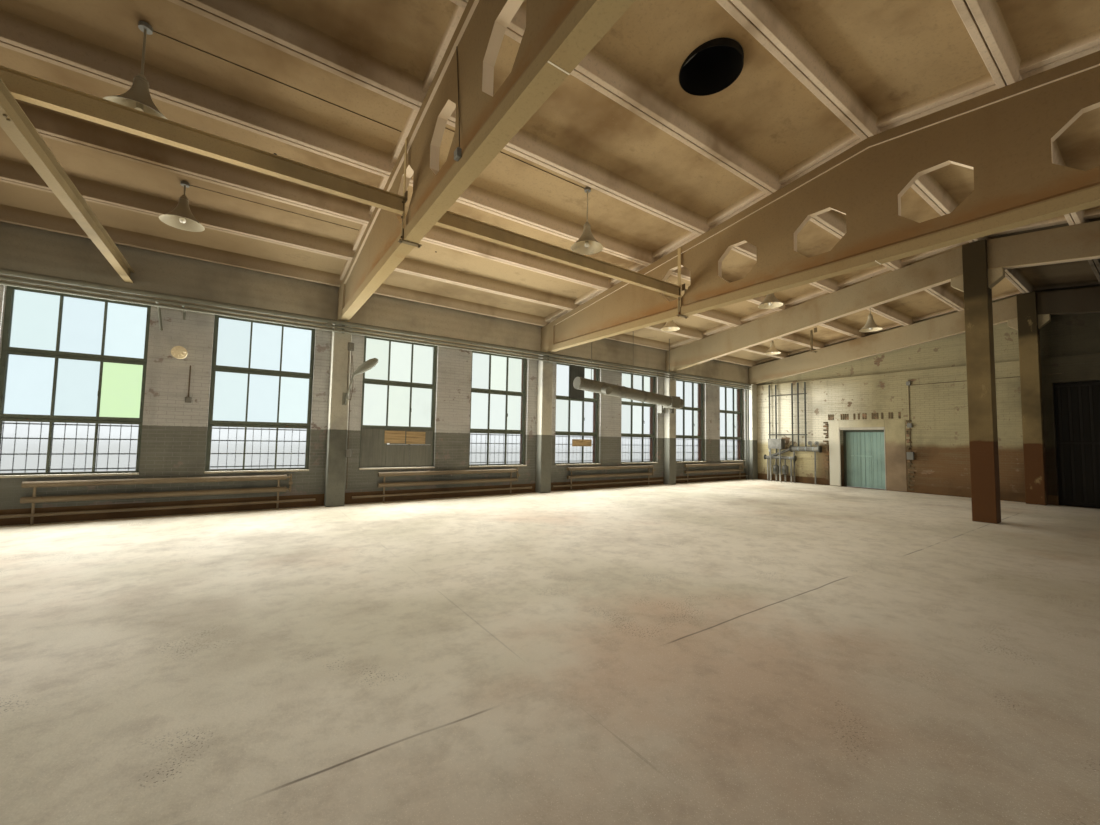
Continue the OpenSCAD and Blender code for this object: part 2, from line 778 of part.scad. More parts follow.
// I-section drawn across the hall, for steel that runs along it
function i_section(y, z, w, h, t, web) = [
    [y - w / 2, z], [y + w / 2, z], [y + w / 2, z + t], [y + web / 2, z + t], [y + web / 2, z + h - t],
    [y + w / 2, z + h - t], [y + w / 2, z + h], [y - w / 2, z + h], [y - w / 2, z + h - t],
    [y - web / 2, z + h - t], [y - web / 2, z + t], [y - w / 2, z + t]
];
steel_flange = 12;
steel_web = 8;
hanger = 80;
hanger_gap = 5;
HANGER_X = [frame_x(1), frame_x(2), frame_x(3)];

module long_steel_beams() {
    section = i_section(long_beam_place, long_beam_level, long_beam_width, long_beam_depth,
                        steel_flange, steel_web);
    hanger_low = beam_soffit + bottom_flange;
    hanger_high = rib_z(long_beam_place + hanger) - hanger_gap;
    color("#8a7650") on_both_sides() for (i = [0 : len(HANGER_X) - 2]) {
        start = HANGER_X[i] + beam_width / 2;
        end = HANGER_X[i + 1] - beam_width / 2;
        run_along(section, start, end);
        for (x = [start, end - steel_flange])
            block([x, long_beam_place - hanger / 2, hanger_low],
                  [x + steel_flange, long_beam_place + hanger / 2, hanger_high]);
    }
}

cross_beam_width = 130;
cross_beam_depth = 230;
cross_beam_overhang = 300;
module cross_steel_beam() {
    color("#8a7650") run_across(
        i_section(cross_beam_place, cross_beam_level, cross_beam_width, cross_beam_depth,
                  steel_flange, steel_web),
        -long_beam_place - cross_beam_overhang, half_width);
}

pipe_stand_off = 90;
pipe_line_y = seat_edge - pipe_stand_off;
pipe_drop = 30;
PIPE_SIZE = [main_pipe_diameter, small_pipe_diameter, small_pipe_diameter];
PIPE_Z = [beam_soffit - pipe_drop - main_pipe_diameter / 2,
          beam_soffit - 2 * pipe_drop - main_pipe_diameter - small_pipe_diameter / 2,
          beam_soffit - 3 * pipe_drop - main_pipe_diameter - 1.5 * small_pipe_diameter];
pipe_start = 300;
pipe_stop = 700;
bracket_bar = 30;
bracket_plate = 12;
// Three pipes one above the other, on brackets at the wall columns
module heating_pipes() {
    color("#7f8577") {
        for (k = [0 : 2])
            bar([-half_length + pipe_start, pipe_line_y, PIPE_Z[k]],
                [half_length - pipe_stop, pipe_line_y, PIPE_Z[k]], PIPE_SIZE[k]);
        for (i = [1 : bay_count - 1]) {
            x = frame_x(i);
            wall_side = seat_edge - seat_clearance;
            for (z = PIPE_Z) block([x - bracket_bar / 2, pipe_line_y, z - bracket_bar / 3],
                                   [x + bracket_bar / 2, wall_side, z + bracket_bar / 3]);
            block([x - bracket_bar, wall_side - bracket_plate, PIPE_Z[2] - bracket_bar],
                  [x + bracket_bar, wall_side, PIPE_Z[0] + bracket_bar]);
        }
    }
}

radiator_low = 440;
radiator_pitch = 270;
radiator_off = 110;
radiator_length = 4000;
riser_inset = 150;
riser_diameter = 42;
// Two thick pipes under each pair of windows, with thin risers and a thin pipe by the floor
module radiators() {
    y = half_width - radiator_off;
    low_z = floor_level + radiator_low;
    feed_z = floor_level + radiator_low - radiator_pitch;
    color("#6f6450") on_both_sides() for (i = [0 : bay_count - 1]) {
        middle = (frame_x(i) + frame_x(i + 1)) / 2;
        feed_half = bay_length / 2 - column_width;
        for (z = [low_z, low_z + radiator_pitch])
            bar([middle - radiator_length / 2, y, z], [middle + radiator_length / 2, y, z],
                radiator_pipe_diameter, $fn = 12);
        bar([middle - feed_half, y, feed_z], [middle + feed_half, y, feed_z], small_pipe_diameter, $fn = 12);
        for (side = SIDES) {
            x = middle + side * (radiator_length / 2 - riser_inset);
            bar([x, y, floor_level], [x, y, low_z + radiator_pitch], riser_diameter, $fn = 12);
        }
    }
}

// How far the duct's two ends lie from the frames, from the wall and above the floor
duct_frame_gap = [950, 50];
duct_off = [590, 670];
duct_rise = [3530, 3150];
duct_from = [frame_x(3) + duct_frame_gap[0], half_width - duct_off[0], floor_level + duct_rise[0]];
duct_to = [frame_x(4) - duct_frame_gap[1], half_width - duct_off[1], floor_level + duct_rise[1]];
duct_rod = 20;
duct_branch = 260;
duct_branch_length = 420;
duct_branch_share = 0.2;
HANGER_SHARES = [0.12, 0.5, 0.88];
// Round duct that falls towards the end wall, on rods from the roof slabs, with a branch near its upper end
module air_duct() {
    color("#8f9892") {
        bar(duct_from, duct_to, duct_diameter);
        for (share = HANGER_SHARES) {
            at = duct_from + share * (duct_to - duct_from);
            bar(at, [at[0], at[1], plate_z(at[1] + duct_rod / 2)], duct_rod);
        }
        root = duct_from + duct_branch_share * (duct_to - duct_from);
        bar(root, root + [0, -duct_branch_length, -duct_branch_length / 3], duct_branch);
    }
}

shade_wall = 8;
lamp_rod = 24;
bell_steps = 10;
bell_curve = 2.2;
// The socket reaches down to this share of the shade's height
socket_share = 0.2;
// Bell outline of a shade, from its rim to its neck
function bell(r, h) = [for (i = [0 : bell_steps]) let (t = i / bell_steps)
    [lamp_neck + (r - lamp_neck) * pow(1 - t, bell_curve), h * t]];
LAMPS = [
    [100, 3400], [-5840, 6700], [-5940, 3800], [5800, 6300], [5900, 3200], [11700, 6300], [10500, 2650]
];
lamp_neck = 60;
module lamp(place) {
    outline = bell(shade_diameter / 2, shade_height);
    inner = [for (p = outline) [p[0] - shade_wall, p[1] - fuse]];
    top = plate_z(place[1] + lamp_rod / 2);
    translate([place[0], place[1], lamp_level]) {
        rotate_extrude() difference() {
            polygon(concat([[0, 0]], outline, [[0, shade_height]]));
            polygon(concat([[0, -fuse]], inner, [[0, shade_height - shade_wall]]));
        }
        cylinder(h = top - lamp_level, d = lamp_rod);
        translate([0, 0, socket_share * shade_height])
            cylinder(h = (1 - socket_share) * shade_height, d = lamp_neck);
    }
}

module pendant_lamps() {
    color("#b8ae94") for (place = LAMPS) lamp(place);
}

lamp_pier_x = frame_x(1) + bay_length / 2;
luminaire_diameter = 240;
luminaire_arm = 90;
luminaire_gap = 30;
luminaire_height = 3300;
luminaire_level = floor_level + luminaire_height;
arm_lamp_side = 100;
arm_lamp_height = 2450;
arm_lamp_x = frame_x(2) + arm_lamp_side;
arm_lamp_level = floor_level + arm_lamp_height;
arm_diameter = 42;
arm_plate = 16;
arm_plate_half_width = 50;
arm_plate_below = 40;
arm_plate_above = 260;
arm_start_drop = 20;
arm_seat = 4;
// Sideways reach, reach from the column and rise of the arm, and how its head hangs on it
arm_reach = 150;
arm_rise = 700;
head_tilt = 52;
head_turn = -14;
head_hold = 40;
// Outline of the arm lamp's long head, from its neck to its nose
HEAD = [[0, 0], [26, 0], [48, 110], [92, 260], [112, 420], [104, 560], [62, 680], [0, 720]];

// An oval luminaire on a pier and a lamp with a long head on an arm from a column
module wall_lamps() {
    luminaire_y = half_width - luminaire_diameter / 2 - luminaire_gap;
    plate_y = seat_edge - seat_clearance;
    elbow = [arm_lamp_x + arm_reach, seat_edge - arm_reach, arm_lamp_level + arm_rise];
    color("#c9c7ba") {
        translate([lamp_pier_x, luminaire_y, luminaire_level]) sphere(d = luminaire_diameter);
        bar([lamp_pier_x, luminaire_y, luminaire_level],
            [lamp_pier_x, half_width - seat_clearance, luminaire_level], luminaire_arm);
        block([arm_lamp_x - arm_plate_half_width, plate_y - arm_plate, arm_lamp_level - arm_plate_below],
              [arm_lamp_x + arm_plate_half_width, plate_y, arm_lamp_level + arm_plate_above]);
        bar([arm_lamp_x, plate_y - arm_plate - arm_diameter / 2 + arm_seat, arm_lamp_level - arm_start_drop],
            elbow, arm_diameter);
        translate(elbow) rotate([0, head_tilt, head_turn]) translate([0, 0, -head_hold])
            rotate_extrude() polygon(HEAD);
    }
}

corner_pipe_diameter = 70;
corner_pipe_off = 110;
corner_pipe_x = half_length - corner_pipe_off;
// Distances of the pipes from the long wall's face, and of two more from the end wall's face
CORNER_OFF = [950, 1250, 1970, 2220, 2520];
WALL_PIPE_OFF = [800, 620];
CORNER_Y = [for (off = CORNER_OFF) half_width - off];
WALL_PIPE_X = [for (off = WALL_PIPE_OFF) half_length - off];
pipe_head_gap = 100;
link_height = 2080;
upper_link_drop = 500;
link_overhang = 60;
// Pipes that rise in the corner: two on the long wall and five on the end wall
module corner_pipes() {
    wall_y = half_width - radiator_off - radiator_pipe_diameter;
    top = column_top - pipe_head_gap;
    color("#77776a") {
        for (x = WALL_PIPE_X)
            bar([x, wall_y, floor_level], [x, wall_y, top], corner_pipe_diameter, $fn = 12);
        for (i = [0 : len(CORNER_Y) - 1]) {
            low = i < 2 ? floor_level : collector_z + collector_diameter / 2 + seat_clearance;
            bar([corner_pipe_x, CORNER_Y[i], low], [corner_pipe_x, CORNER_Y[i], top],
                corner_pipe_diameter, $fn = 12);
        }
        link_low = CORNER_Y[len(CORNER_Y) - 1] - link_overhang;
        link_high = CORNER_Y[0] + link_overhang;
        for (z = [floor_level + link_height, top - upper_link_drop])
            bar([corner_pipe_x, link_low, z], [corner_pipe_x, link_high, z], riser_diameter, $fn = 12);
    }
}

collector_diameter = 200;
collector_height = 1470;
collector_z = floor_level + collector_height;
COLLECTOR_Y = [half_width - 3090, half_width - 1910];
header_diameter = 130;
header_height = 1060;
header_off = 180;
header_x = corner_pipe_x - header_off;
header_z = floor_level + header_height;
HEADER_Y = [half_width - 2150, half_width - 830];
cross_pipe_diameter = 116;
manifold_leg = 50;
LEG_INSET = [180, 140];
pump_diameter = 240;
PUMP_PLACE = [420, 820];
PUMP_HEIGHT = [360, 700];
pump_pipe_diameter = 72;
// Expansion tank on two legs
tank = [300, 590, 440];
tank_off = [480, 1660];
tank_height = 1450;
tank_leg_inset = 60;
// Valves on the collector: stem, spindle and hand wheel
VALVE_PLACE = [90, 360];
stem_diameter = 60;
stem_height = 260;
spindle_diameter = 28;
spindle_length = 90;
wheel_diameter = 180;
wheel_thickness = 16;

module valve(y) {
    z = collector_z + stem_height;
    axis_z = z - spindle_diameter / 2;
    tip = corner_pipe_x - spindle_length;
    bar([corner_pipe_x, y, collector_z], [corner_pipe_x, y, z], stem_diameter);
    bar([corner_pipe_x, y, axis_z], [tip, y, axis_z], spindle_diameter);
    bar([tip + wheel_thickness / 2, y, axis_z], [tip - wheel_thickness / 2, y, axis_z], wheel_diameter);
}

module pump(y) {
    bar([header_x, y, floor_level], [header_x, y, header_z], pump_pipe_diameter);
    bar([header_x, y, floor_level + PUMP_HEIGHT[0]], [header_x, y, floor_level + PUMP_HEIGHT[1]],
        pump_diameter);
}

// A square leg from the floor up to a height
module leg(x, y, z) {
    block([x - manifold_leg / 2, y, floor_level], [x + manifold_leg / 2, y + manifold_leg, z]);
}

module expansion_tank() {
    place = [half_length - tank_off[0], half_width - tank_off[1], floor_level + tank_height];
    block(place, place + tank);
    for (y = [tank_leg_inset, tank[1] - tank_leg_inset - manifold_leg])
        leg(place[0] + manifold_leg, place[1] + y, place[2] + fuse);
}

// Collector and header of the heating on legs, with two pumps, an expansion tank and hand wheels
module heating_manifold() {
    color("#b5b1a2") {
        bar([corner_pipe_x, COLLECTOR_Y[0], collector_z], [corner_pipe_x, COLLECTOR_Y[1], collector_z],
            collector_diameter);
        bar([header_x, HEADER_Y[0], header_z], [header_x, HEADER_Y[1], header_z], header_diameter);
        bar([corner_pipe_x, COLLECTOR_Y[1] - header_diameter / 4, collector_z],
            [header_x, HEADER_Y[1] - header_diameter, header_z], cross_pipe_diameter);
        leg(corner_pipe_x, COLLECTOR_Y[0] + LEG_INSET[0], collector_z);
        leg(corner_pipe_x, COLLECTOR_Y[1] - LEG_INSET[1], collector_z);
        leg(header_x, HEADER_Y[0] + LEG_INSET[1], header_z);
        leg(header_x, HEADER_Y[1] - LEG_INSET[1], header_z);
        for (place = PUMP_PLACE) pump(HEADER_Y[0] + place);
        for (place = VALVE_PLACE) valve(COLLECTOR_Y[0] + place);
        expansion_tank();
    }
}

floor_slab();
plinth();
sill_walls();
window_piers();
lintel_bands();
end_wall_corner();
end_wall_middle();
end_wall_rear_part();
end_wall_over_door();
end_wall_band();
end_gable_far();
end_wall_near();
wall_columns();
middle_columns();
gable_beam_1();
gable_beam_2();
gable_beam_3();
inclined_beams();
roof_slabs_bay_1();
roof_slabs_bay_2();
roof_slabs_bay_3();
roof_slabs_bay_4();
roof_slabs_bay_5();
roof_covering_front();
roof_covering_rear();
eaves_cornices();
rainwater_pipes();
roof_vent();
window_frames();
window_glass();
window_sills();
window_boards();
door_frame();
door_leaf_left();
door_leaf_right();
gateway_closing();
long_steel_beams();
cross_steel_beam();
heating_pipes();
radiators();
air_duct();
pendant_lamps();
wall_lamps();
corner_pipes();
heating_manifold();
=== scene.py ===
"""Finishes, fine pieces, light and camera for a single-storey factory hall."""
import math
import random

import bmesh
import bpy
from bpy.props import FloatProperty, FloatVectorProperty, IntProperty, PointerProperty
from bpy.types import Operator, Panel, PropertyGroup
from mathutils import Matrix, Vector, noise
import numpy as np


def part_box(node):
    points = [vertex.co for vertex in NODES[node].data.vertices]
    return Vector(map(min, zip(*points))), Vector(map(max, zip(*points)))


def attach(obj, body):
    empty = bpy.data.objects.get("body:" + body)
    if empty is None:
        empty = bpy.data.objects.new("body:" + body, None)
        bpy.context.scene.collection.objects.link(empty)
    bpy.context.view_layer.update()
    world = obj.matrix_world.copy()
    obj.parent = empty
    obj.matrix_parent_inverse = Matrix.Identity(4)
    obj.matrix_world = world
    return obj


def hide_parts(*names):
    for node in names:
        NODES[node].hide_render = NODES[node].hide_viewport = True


bl_info = {
    "name": "Factory Hall Finishes",
    "version": (1, 0, 0),
    "blender": (4, 5, 0),
    "location": "3D View > Sidebar > Hall",
    "description": "Finishes and fine pieces of a single-storey factory hall",
    "category": "Object",
}

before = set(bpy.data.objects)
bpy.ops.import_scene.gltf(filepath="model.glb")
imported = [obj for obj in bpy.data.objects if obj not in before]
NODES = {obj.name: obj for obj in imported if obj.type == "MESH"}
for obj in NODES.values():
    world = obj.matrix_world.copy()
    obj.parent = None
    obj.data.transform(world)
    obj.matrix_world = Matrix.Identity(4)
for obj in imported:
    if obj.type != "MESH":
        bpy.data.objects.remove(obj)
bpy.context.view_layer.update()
HALL = "hall"

# The clear space of the hall, read from its floor
FLOOR_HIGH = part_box("floor_slab")[1]
FLOOR_TOP = FLOOR_HIGH.z
END_X = FLOOR_HIGH.x
WALL_Y = FLOOR_HIGH.y
WALL_OUT_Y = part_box("sill_walls")[1].y
END_OUT_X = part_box("sill_walls")[1].x
# Past these distances from the middle a wall face is an outer one
OUTER_Y = WALL_Y + 0.15
OUTER_X = END_X + 0.3

# The slabs' ribs rise towards the ridge from the lowest point of a bay's slabs
SLAB_LOW, SLAB_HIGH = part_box("roof_slabs_bay_3")
SLAB_DEPTH = 0.3
ROOF_SLOPE = (SLAB_HIGH.z - SLAB_LOW.z - SLAB_DEPTH) / SLAB_HIGH.y

BAY = END_X * 2 / 5
BEAM_X = (-BAY / 2, BAY / 2, BAY * 1.5)
BEAM_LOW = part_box("gable_beam_2")[0]
DADO_TOP = FLOOR_TOP + 1.83

PLATE = 0.05
PLINTH_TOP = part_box("plinth")[1].z
CORNICE_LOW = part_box("eaves_cornices")[0]
CORNICE_Y, CORNICE_Z = 9.014, CORNICE_LOW.z

# Windows: middles along the hall, half width, sill, head, bars and crossbars
WINDOW_LOW, WINDOW_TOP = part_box("window_frames")
WINDOW_X = [(bay - 2) * BAY + shift for bay in range(5) for shift in (-1.48, 1.48)]
WINDOW_HALF = (WINDOW_TOP.x - WINDOW_X[-1])
SILL_Z, HEAD_Z = WINDOW_LOW.z, WINDOW_TOP.z
FRAME_BAR, GLAZING_BAR, CROSSBAR = 0.07, 0.028, 0.125
CROSSBAR_Z = (FLOOR_TOP + 1.89, FLOOR_TOP + 3.09)
FRAME_OUT_Y = WINDOW_TOP.y
FRAME_IN_Y = FRAME_OUT_Y - 0.08
GLASS_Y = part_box("window_glass")[1].y - 0.003
HANDLE_Z = 2.56

# The door and the gateway in the end wall, and the head of an older, wider opening round the door
DOOR_LOW, DOOR_HIGH, DOOR_HEAD = 3.85, 5.35, 2.39
DOOR_Y = (DOOR_LOW + DOOR_HIGH) / 2
LEAF = 0.045
HINGE_Z = (0.392, 2.005)
GATE_LOW, GATE_HIGH, GATE_HEAD = -4.4, -0.4, 3.76
LINTEL, BEARING = 0.23, 0.2
OLD_LOW, OLD_HIGH, OLD_HEAD = 3.17, 5.79, 2.8
# How deep a brick of the relief reaches into the wall
BRICK_HOLD = 0.003

# Tints of the panes: two bluish windows and two greenish ones near the middle, the others and the lowest row
PANE_TINTS = {2: (0.82, 0.97, 1.0), 3: (0.85, 0.99, 1.0), 4: (0.92, 1.0, 0.92), 5: (0.92, 1.0, 0.93)}
USUAL_TINT, LOW_TINT = (0.9, 0.97, 0.96), (0.94, 0.99, 1.0)
# Window, column, row and side of one clear pane, and how much green goes into its tint: painted light, the
# green of foliage seen through it
FOLIAGE_PANE, FOLIAGE_GREEN = (2, 2, 1, 1), 1.4
# Plywood at the windows: both ends, how far its face stands in, low and high edge over the floor
PLYWOOD = ((WINDOW_X[4] - 0.36, WINDOW_X[4] + 0.17, 0.03, 1.5, 1.83),
           (WINDOW_X[4] + 0.2, WINDOW_X[4] + 0.72, 0.026, 1.49, 1.82),
           (WINDOW_X[6] - 0.2, WINDOW_X[6] + 0.66, 0.02, 1.46, 1.7))
HANGER_Y = 3.6
PIPE_Y, PIPE_Z, PIPE_R = 8.76, (4.49, 4.38, 4.29), (0.05, 0.03, 0.03)
# The two lagged pipes in the corner, each with its place, height, radius and flanges, and the valve over them
LAGGED = ((14.89, 1.59, 0.1, (6.06, 7.24)), (14.71, 1.18, 0.065, (7.0, 8.32)))
LAGGED_X = [row[0] for row in LAGGED]
LAGGED_Z = [row[1] for row in LAGGED]
WHEEL_X, WHEEL_Z, WHEEL_R = 14.785, 1.836, 0.085
# Cables and conduits on a beam, a wall column, the end wall and a pier: radius and points of each
BEAM_FACE, END_FACE = -BAY / 2 - 0.1, END_X - 0.015
CONDUITS = (
    (0.006, (BEAM_FACE + 0.035, 1.86, 6.2), (BEAM_FACE + 0.03, 1.7, 5.2), (BEAM_FACE - 0.008, 1.58, 4.78)),
    (0.008, (-2.79, 8.84, 3.9), (-2.77, 8.84, 1.0), (-2.77, 8.84, FLOOR_TOP + 0.4)),
    (0.007, (-2.85, 8.835, 3.9), (-2.86, 8.83, 3.2), (-2.83, 8.8, 2.68), (-2.77, 8.8, 2.66),
     (-2.73, 8.82, 3.0), (-2.74, 8.83, 3.4), (-2.77, 8.84, 3.75)),
    (0.011, (END_FACE, 3.06, 4.2), (END_FACE, 3.06, 1.15)),
    (0.009, (END_FACE, 3.06, 4.0), (END_FACE, -0.6, 4.02)),
    (0.011, (-5.83, 9.13, 3.2), (-5.83, 9.13, 2.5)))
# Switches, junction boxes and meters: lowest and highest corner
BOXES = (
    ((-2.88, 8.81, 3.86), (-2.74, 8.85, 4.06)), ((-2.83, 8.8, 1.28), (-2.71, 8.85, 1.46)),
    ((14.93, 3.0, 4.0), (END_X, 3.12, 4.14)), ((14.93, 2.99, 2.46), (END_X, 3.13, 2.62)),
    ((14.9, 2.96, 1.3), (END_X, 3.16, 1.58)), ((BEAM_FACE - 0.05, 1.53, 4.69), (BEAM_FACE, 1.63, 4.79)),
    ((8.44, 8.93, 2.9), (8.66, 9.15, 3.22)), ((8.84, 8.79, 2.92), (9.0, 8.85, 3.14)),
    ((-5.88, 9.1, 2.42), (-5.78, 9.15, 2.54)))
DUCT_FROM, DUCT_TO, DUCT_R = (BAY / 2 + 0.95, 8.56, 3.65), (BAY * 1.5 - 0.05, 8.48, 3.27), 0.2
LAMP_PLACES = [(0.1, 3.4), (-5.84, 6.7), (-5.94, 3.8), (5.8, 6.3), (5.9, 3.2), (11.7, 6.3), (10.5, 2.65)]
SHADE_R = 0.29
OVAL_LAMP = (-6.0, 8.9, 3.42)
VENT_Y, VENT_R = 0.75, 0.4
RED_SPOT = (-1.7, -0.7)
GUTTER_R, GUTTER_Z = 0.075, 5.5875
DOWNPIPE_X, DOWNPIPE_OUT = 15.18, 0.111


def linear(code):
    """Linear colour of a six-digit screen colour."""
    parts = [int(code[i:i + 2], 16) / 255 for i in (1, 3, 5)]
    return tuple(c / 12.92 if c <= 0.04045 else ((c + 0.055) / 1.055) ** 2.4 for c in parts)


def colour(name, description, code):
    return FloatVectorProperty(name=name, description=description, subtype="COLOR", size=3,
                               min=0.0, max=1.0, default=linear(code))


def length(name, description, metres):
    return FloatProperty(name=name, description=description, subtype="DISTANCE", unit="LENGTH",
                         min=0.0, default=metres)


def power(name, description, watts):
    return FloatProperty(name=name, description=description, unit="POWER", min=0.0, default=watts)


class HallColours(PropertyGroup):
    """Colours of the hall's finishes"""
    floor: colour("Floor", "Dusty concrete of the floor", "#dad0bc")
    floor_grey: colour("Floor grey", "Greenish grey cast of the floor's bare concrete", "#c6bda6")
    # colour of oil and damp stains, also used for painted shade on the floor away from the front windows
    floor_stain_and_shade: colour("Floor stain", "Oil and damp worn into the floor", "#857561")
    red_dust: colour("Red dust", "Brick dust trodden into the floor", "#bd997c")
    ceiling: colour("Ceiling", "Aged whitewash on the slab plates", "#b39970")
    # colour of stains on the plates, also used for painted shade towards the end of the hall at negative x
    ceiling_stain_and_shade: colour("Ceiling stain", "Soot and damp on the slab plates", "#836743")
    # colour laid on the ceiling and beams, greyer and darker towards the windows
    window_grey: colour("Grime", "Grey dirt on the ceiling and beams near the windows", "#83785f")
    # painted shade: near-black colour for the unlit rear part of the hall, past the last frame behind the
    # ridge
    darkening: colour("Soot", "Soot on the far rear part of the hall", "#1e1812")
    rib: colour("Ribs", "Whitewash on the slabs' ribs", "#dcc6a8")
    beam: colour("Beams", "Whitewash on the concrete beams", "#9f895f")
    # painted shade: a darker copy of the beam whitewash for the beams' sides
    shaded_beam_side: colour("Beam sides", "Sooty whitewash on the sides of the beams", "#8f7651")
    inclined: colour("Inclined beams", "Greyer whitewash on the inclined beams", "#9d8c6c")
    # colour of real stains on the beams, also used for painted shade on the sides towards the rear half
    beam_stain_and_shade: colour("Beam stain", "Brown stain along the beams", "#8a6237")
    pier: colour("Window piers", "Pale paint on the window walls", "#b8b5af")
    pier_dado: colour("Window wall dado", "Grey-green oil paint low on the window walls", "#6e6d62")
    end_wall: colour("End walls", "Yellowed whitewash on the end walls", "#978b69")
    end_wall_pale: colour("End walls by the windows", "Paler whitewash of the end walls near the windows",
                          "#d0c8b1")
    end_dado: colour("End wall dado", "Brown oil paint low on the end walls", "#6a4f33")
    brick: colour("Bare brick", "Fired clay of the bricks", "#8e5a43")
    brick_dark: colour("Dark brick", "Harder fired bricks", "#6d4535")
    mortar: colour("Mortar", "Cement mortar of the joints", "#9b9284")
    column: colour("Columns", "Dirty whitewash on the middle columns", "#74613f")
    frame_paint: colour("Window frames", "Old olive paint of the window frames", "#5f6557")
    rust: colour("Rust", "Rust where paint has gone", "#6b3d22")
    sill: colour("Sills", "Worn pale paint of the sills", "#b9b09c")
    board: colour("Boards", "Weathered boards", "#6e6d63")
    plywood: colour("Plywood", "Newer plywood", "#b59a70")
    door: colour("Door", "Blue-green paint of the door", "#859b8e")
    # painted shade: near-black colour for the gateway's sheet, which stands in the unlit rear part of the
    # hall
    gateway: colour("Gateway", "Soot-dark sheet of the gateway", "#0e0c0a")
    column_foot: colour("Column foot", "Brown oil paint low on the middle columns", "#4c3019")
    wall_column: colour("Wall columns", "Pale paint on the wall columns", "#b5b09f")
    band: colour("Band", "Grey-brown plaster of the band over the windows", "#b8ad97")
    plaster: colour("Plaster", "Reddish plaster beside the door", "#836f56")
    conduit: colour("Conduits", "Dark paint of cables and conduits", "#5a4a34")
    steel: colour("Steelwork", "Paint of the steel beams", "#b79d6e")
    pipe: colour("Pipes", "Grey paint of the pipes", "#7b7a6c")
    radiator: colour("Radiators", "Brown-grey paint of the pipe radiators", "#7a6a52")
    lagging: colour("Lagging", "Painted cloth over the pipe lagging", "#c9c4b4")
    zinc: colour("Galvanised sheet", "Dull zinc of the duct and rainwater goods", "#9aa3a4")
    duct: colour("Duct", "Dirty zinc of the air duct", "#757163")
    enamel: colour("Enamel", "Dusty enamel of the lamps", "#b9ac8f")
    felt: colour("Roof felt", "Mineral felt of the roof", "#6d6e6c")
    render: colour("Plinth", "Rough cement render of the plinth", "#94908a")
    cornice: colour("Cornice", "Weathered concrete of the eaves", "#a49d8f")
    stage: colour("Stage floor", "Plain pale floor round the hall", "#d9d8d4")


class HallSizes(PropertyGroup):
    """Sizes of the hall's fine pieces"""
    brick_length: length("Brick length", "Length of a brick with its joint", 0.262)
    course: length("Course", "Height of a course with its joint", 0.077)
    joint: length("Joint", "Half width of a mortar joint", 0.005)
    relief: length("Relief", "How far the outer bricks stand out of their mortar", 0.007)
    pane: length("Pane thickness", "Thickness of a window pane", 0.006)
    grille_rod: length("Grille rod", "Diameter of the rods outside the lowest panes", 0.012)
    grille_pitch: length("Grille pitch", "Distance between the upright rods", 0.165)
    edge: length("Concrete edge", "Width of the worn edges of the precast concrete", 0.008)
    window_light: power("Window light", "Power of the light in each window", 230.0)
    rear_light: power("Rear window light", "Power of the light in each rear window", 45.0)
    dust_light: power("Light over the floor", "Power of the soft light over the floor's middle", 50.0)
    sky: FloatProperty(name="Sky", description="Strength of the sky's light outside", min=0.0, default=0.75)
    sun: FloatProperty(name="Sun", description="Strength of the soft sun outside", min=0.0, default=1.1)
    seed: IntProperty(name="Seed", description="Start of the random choices", default=7)


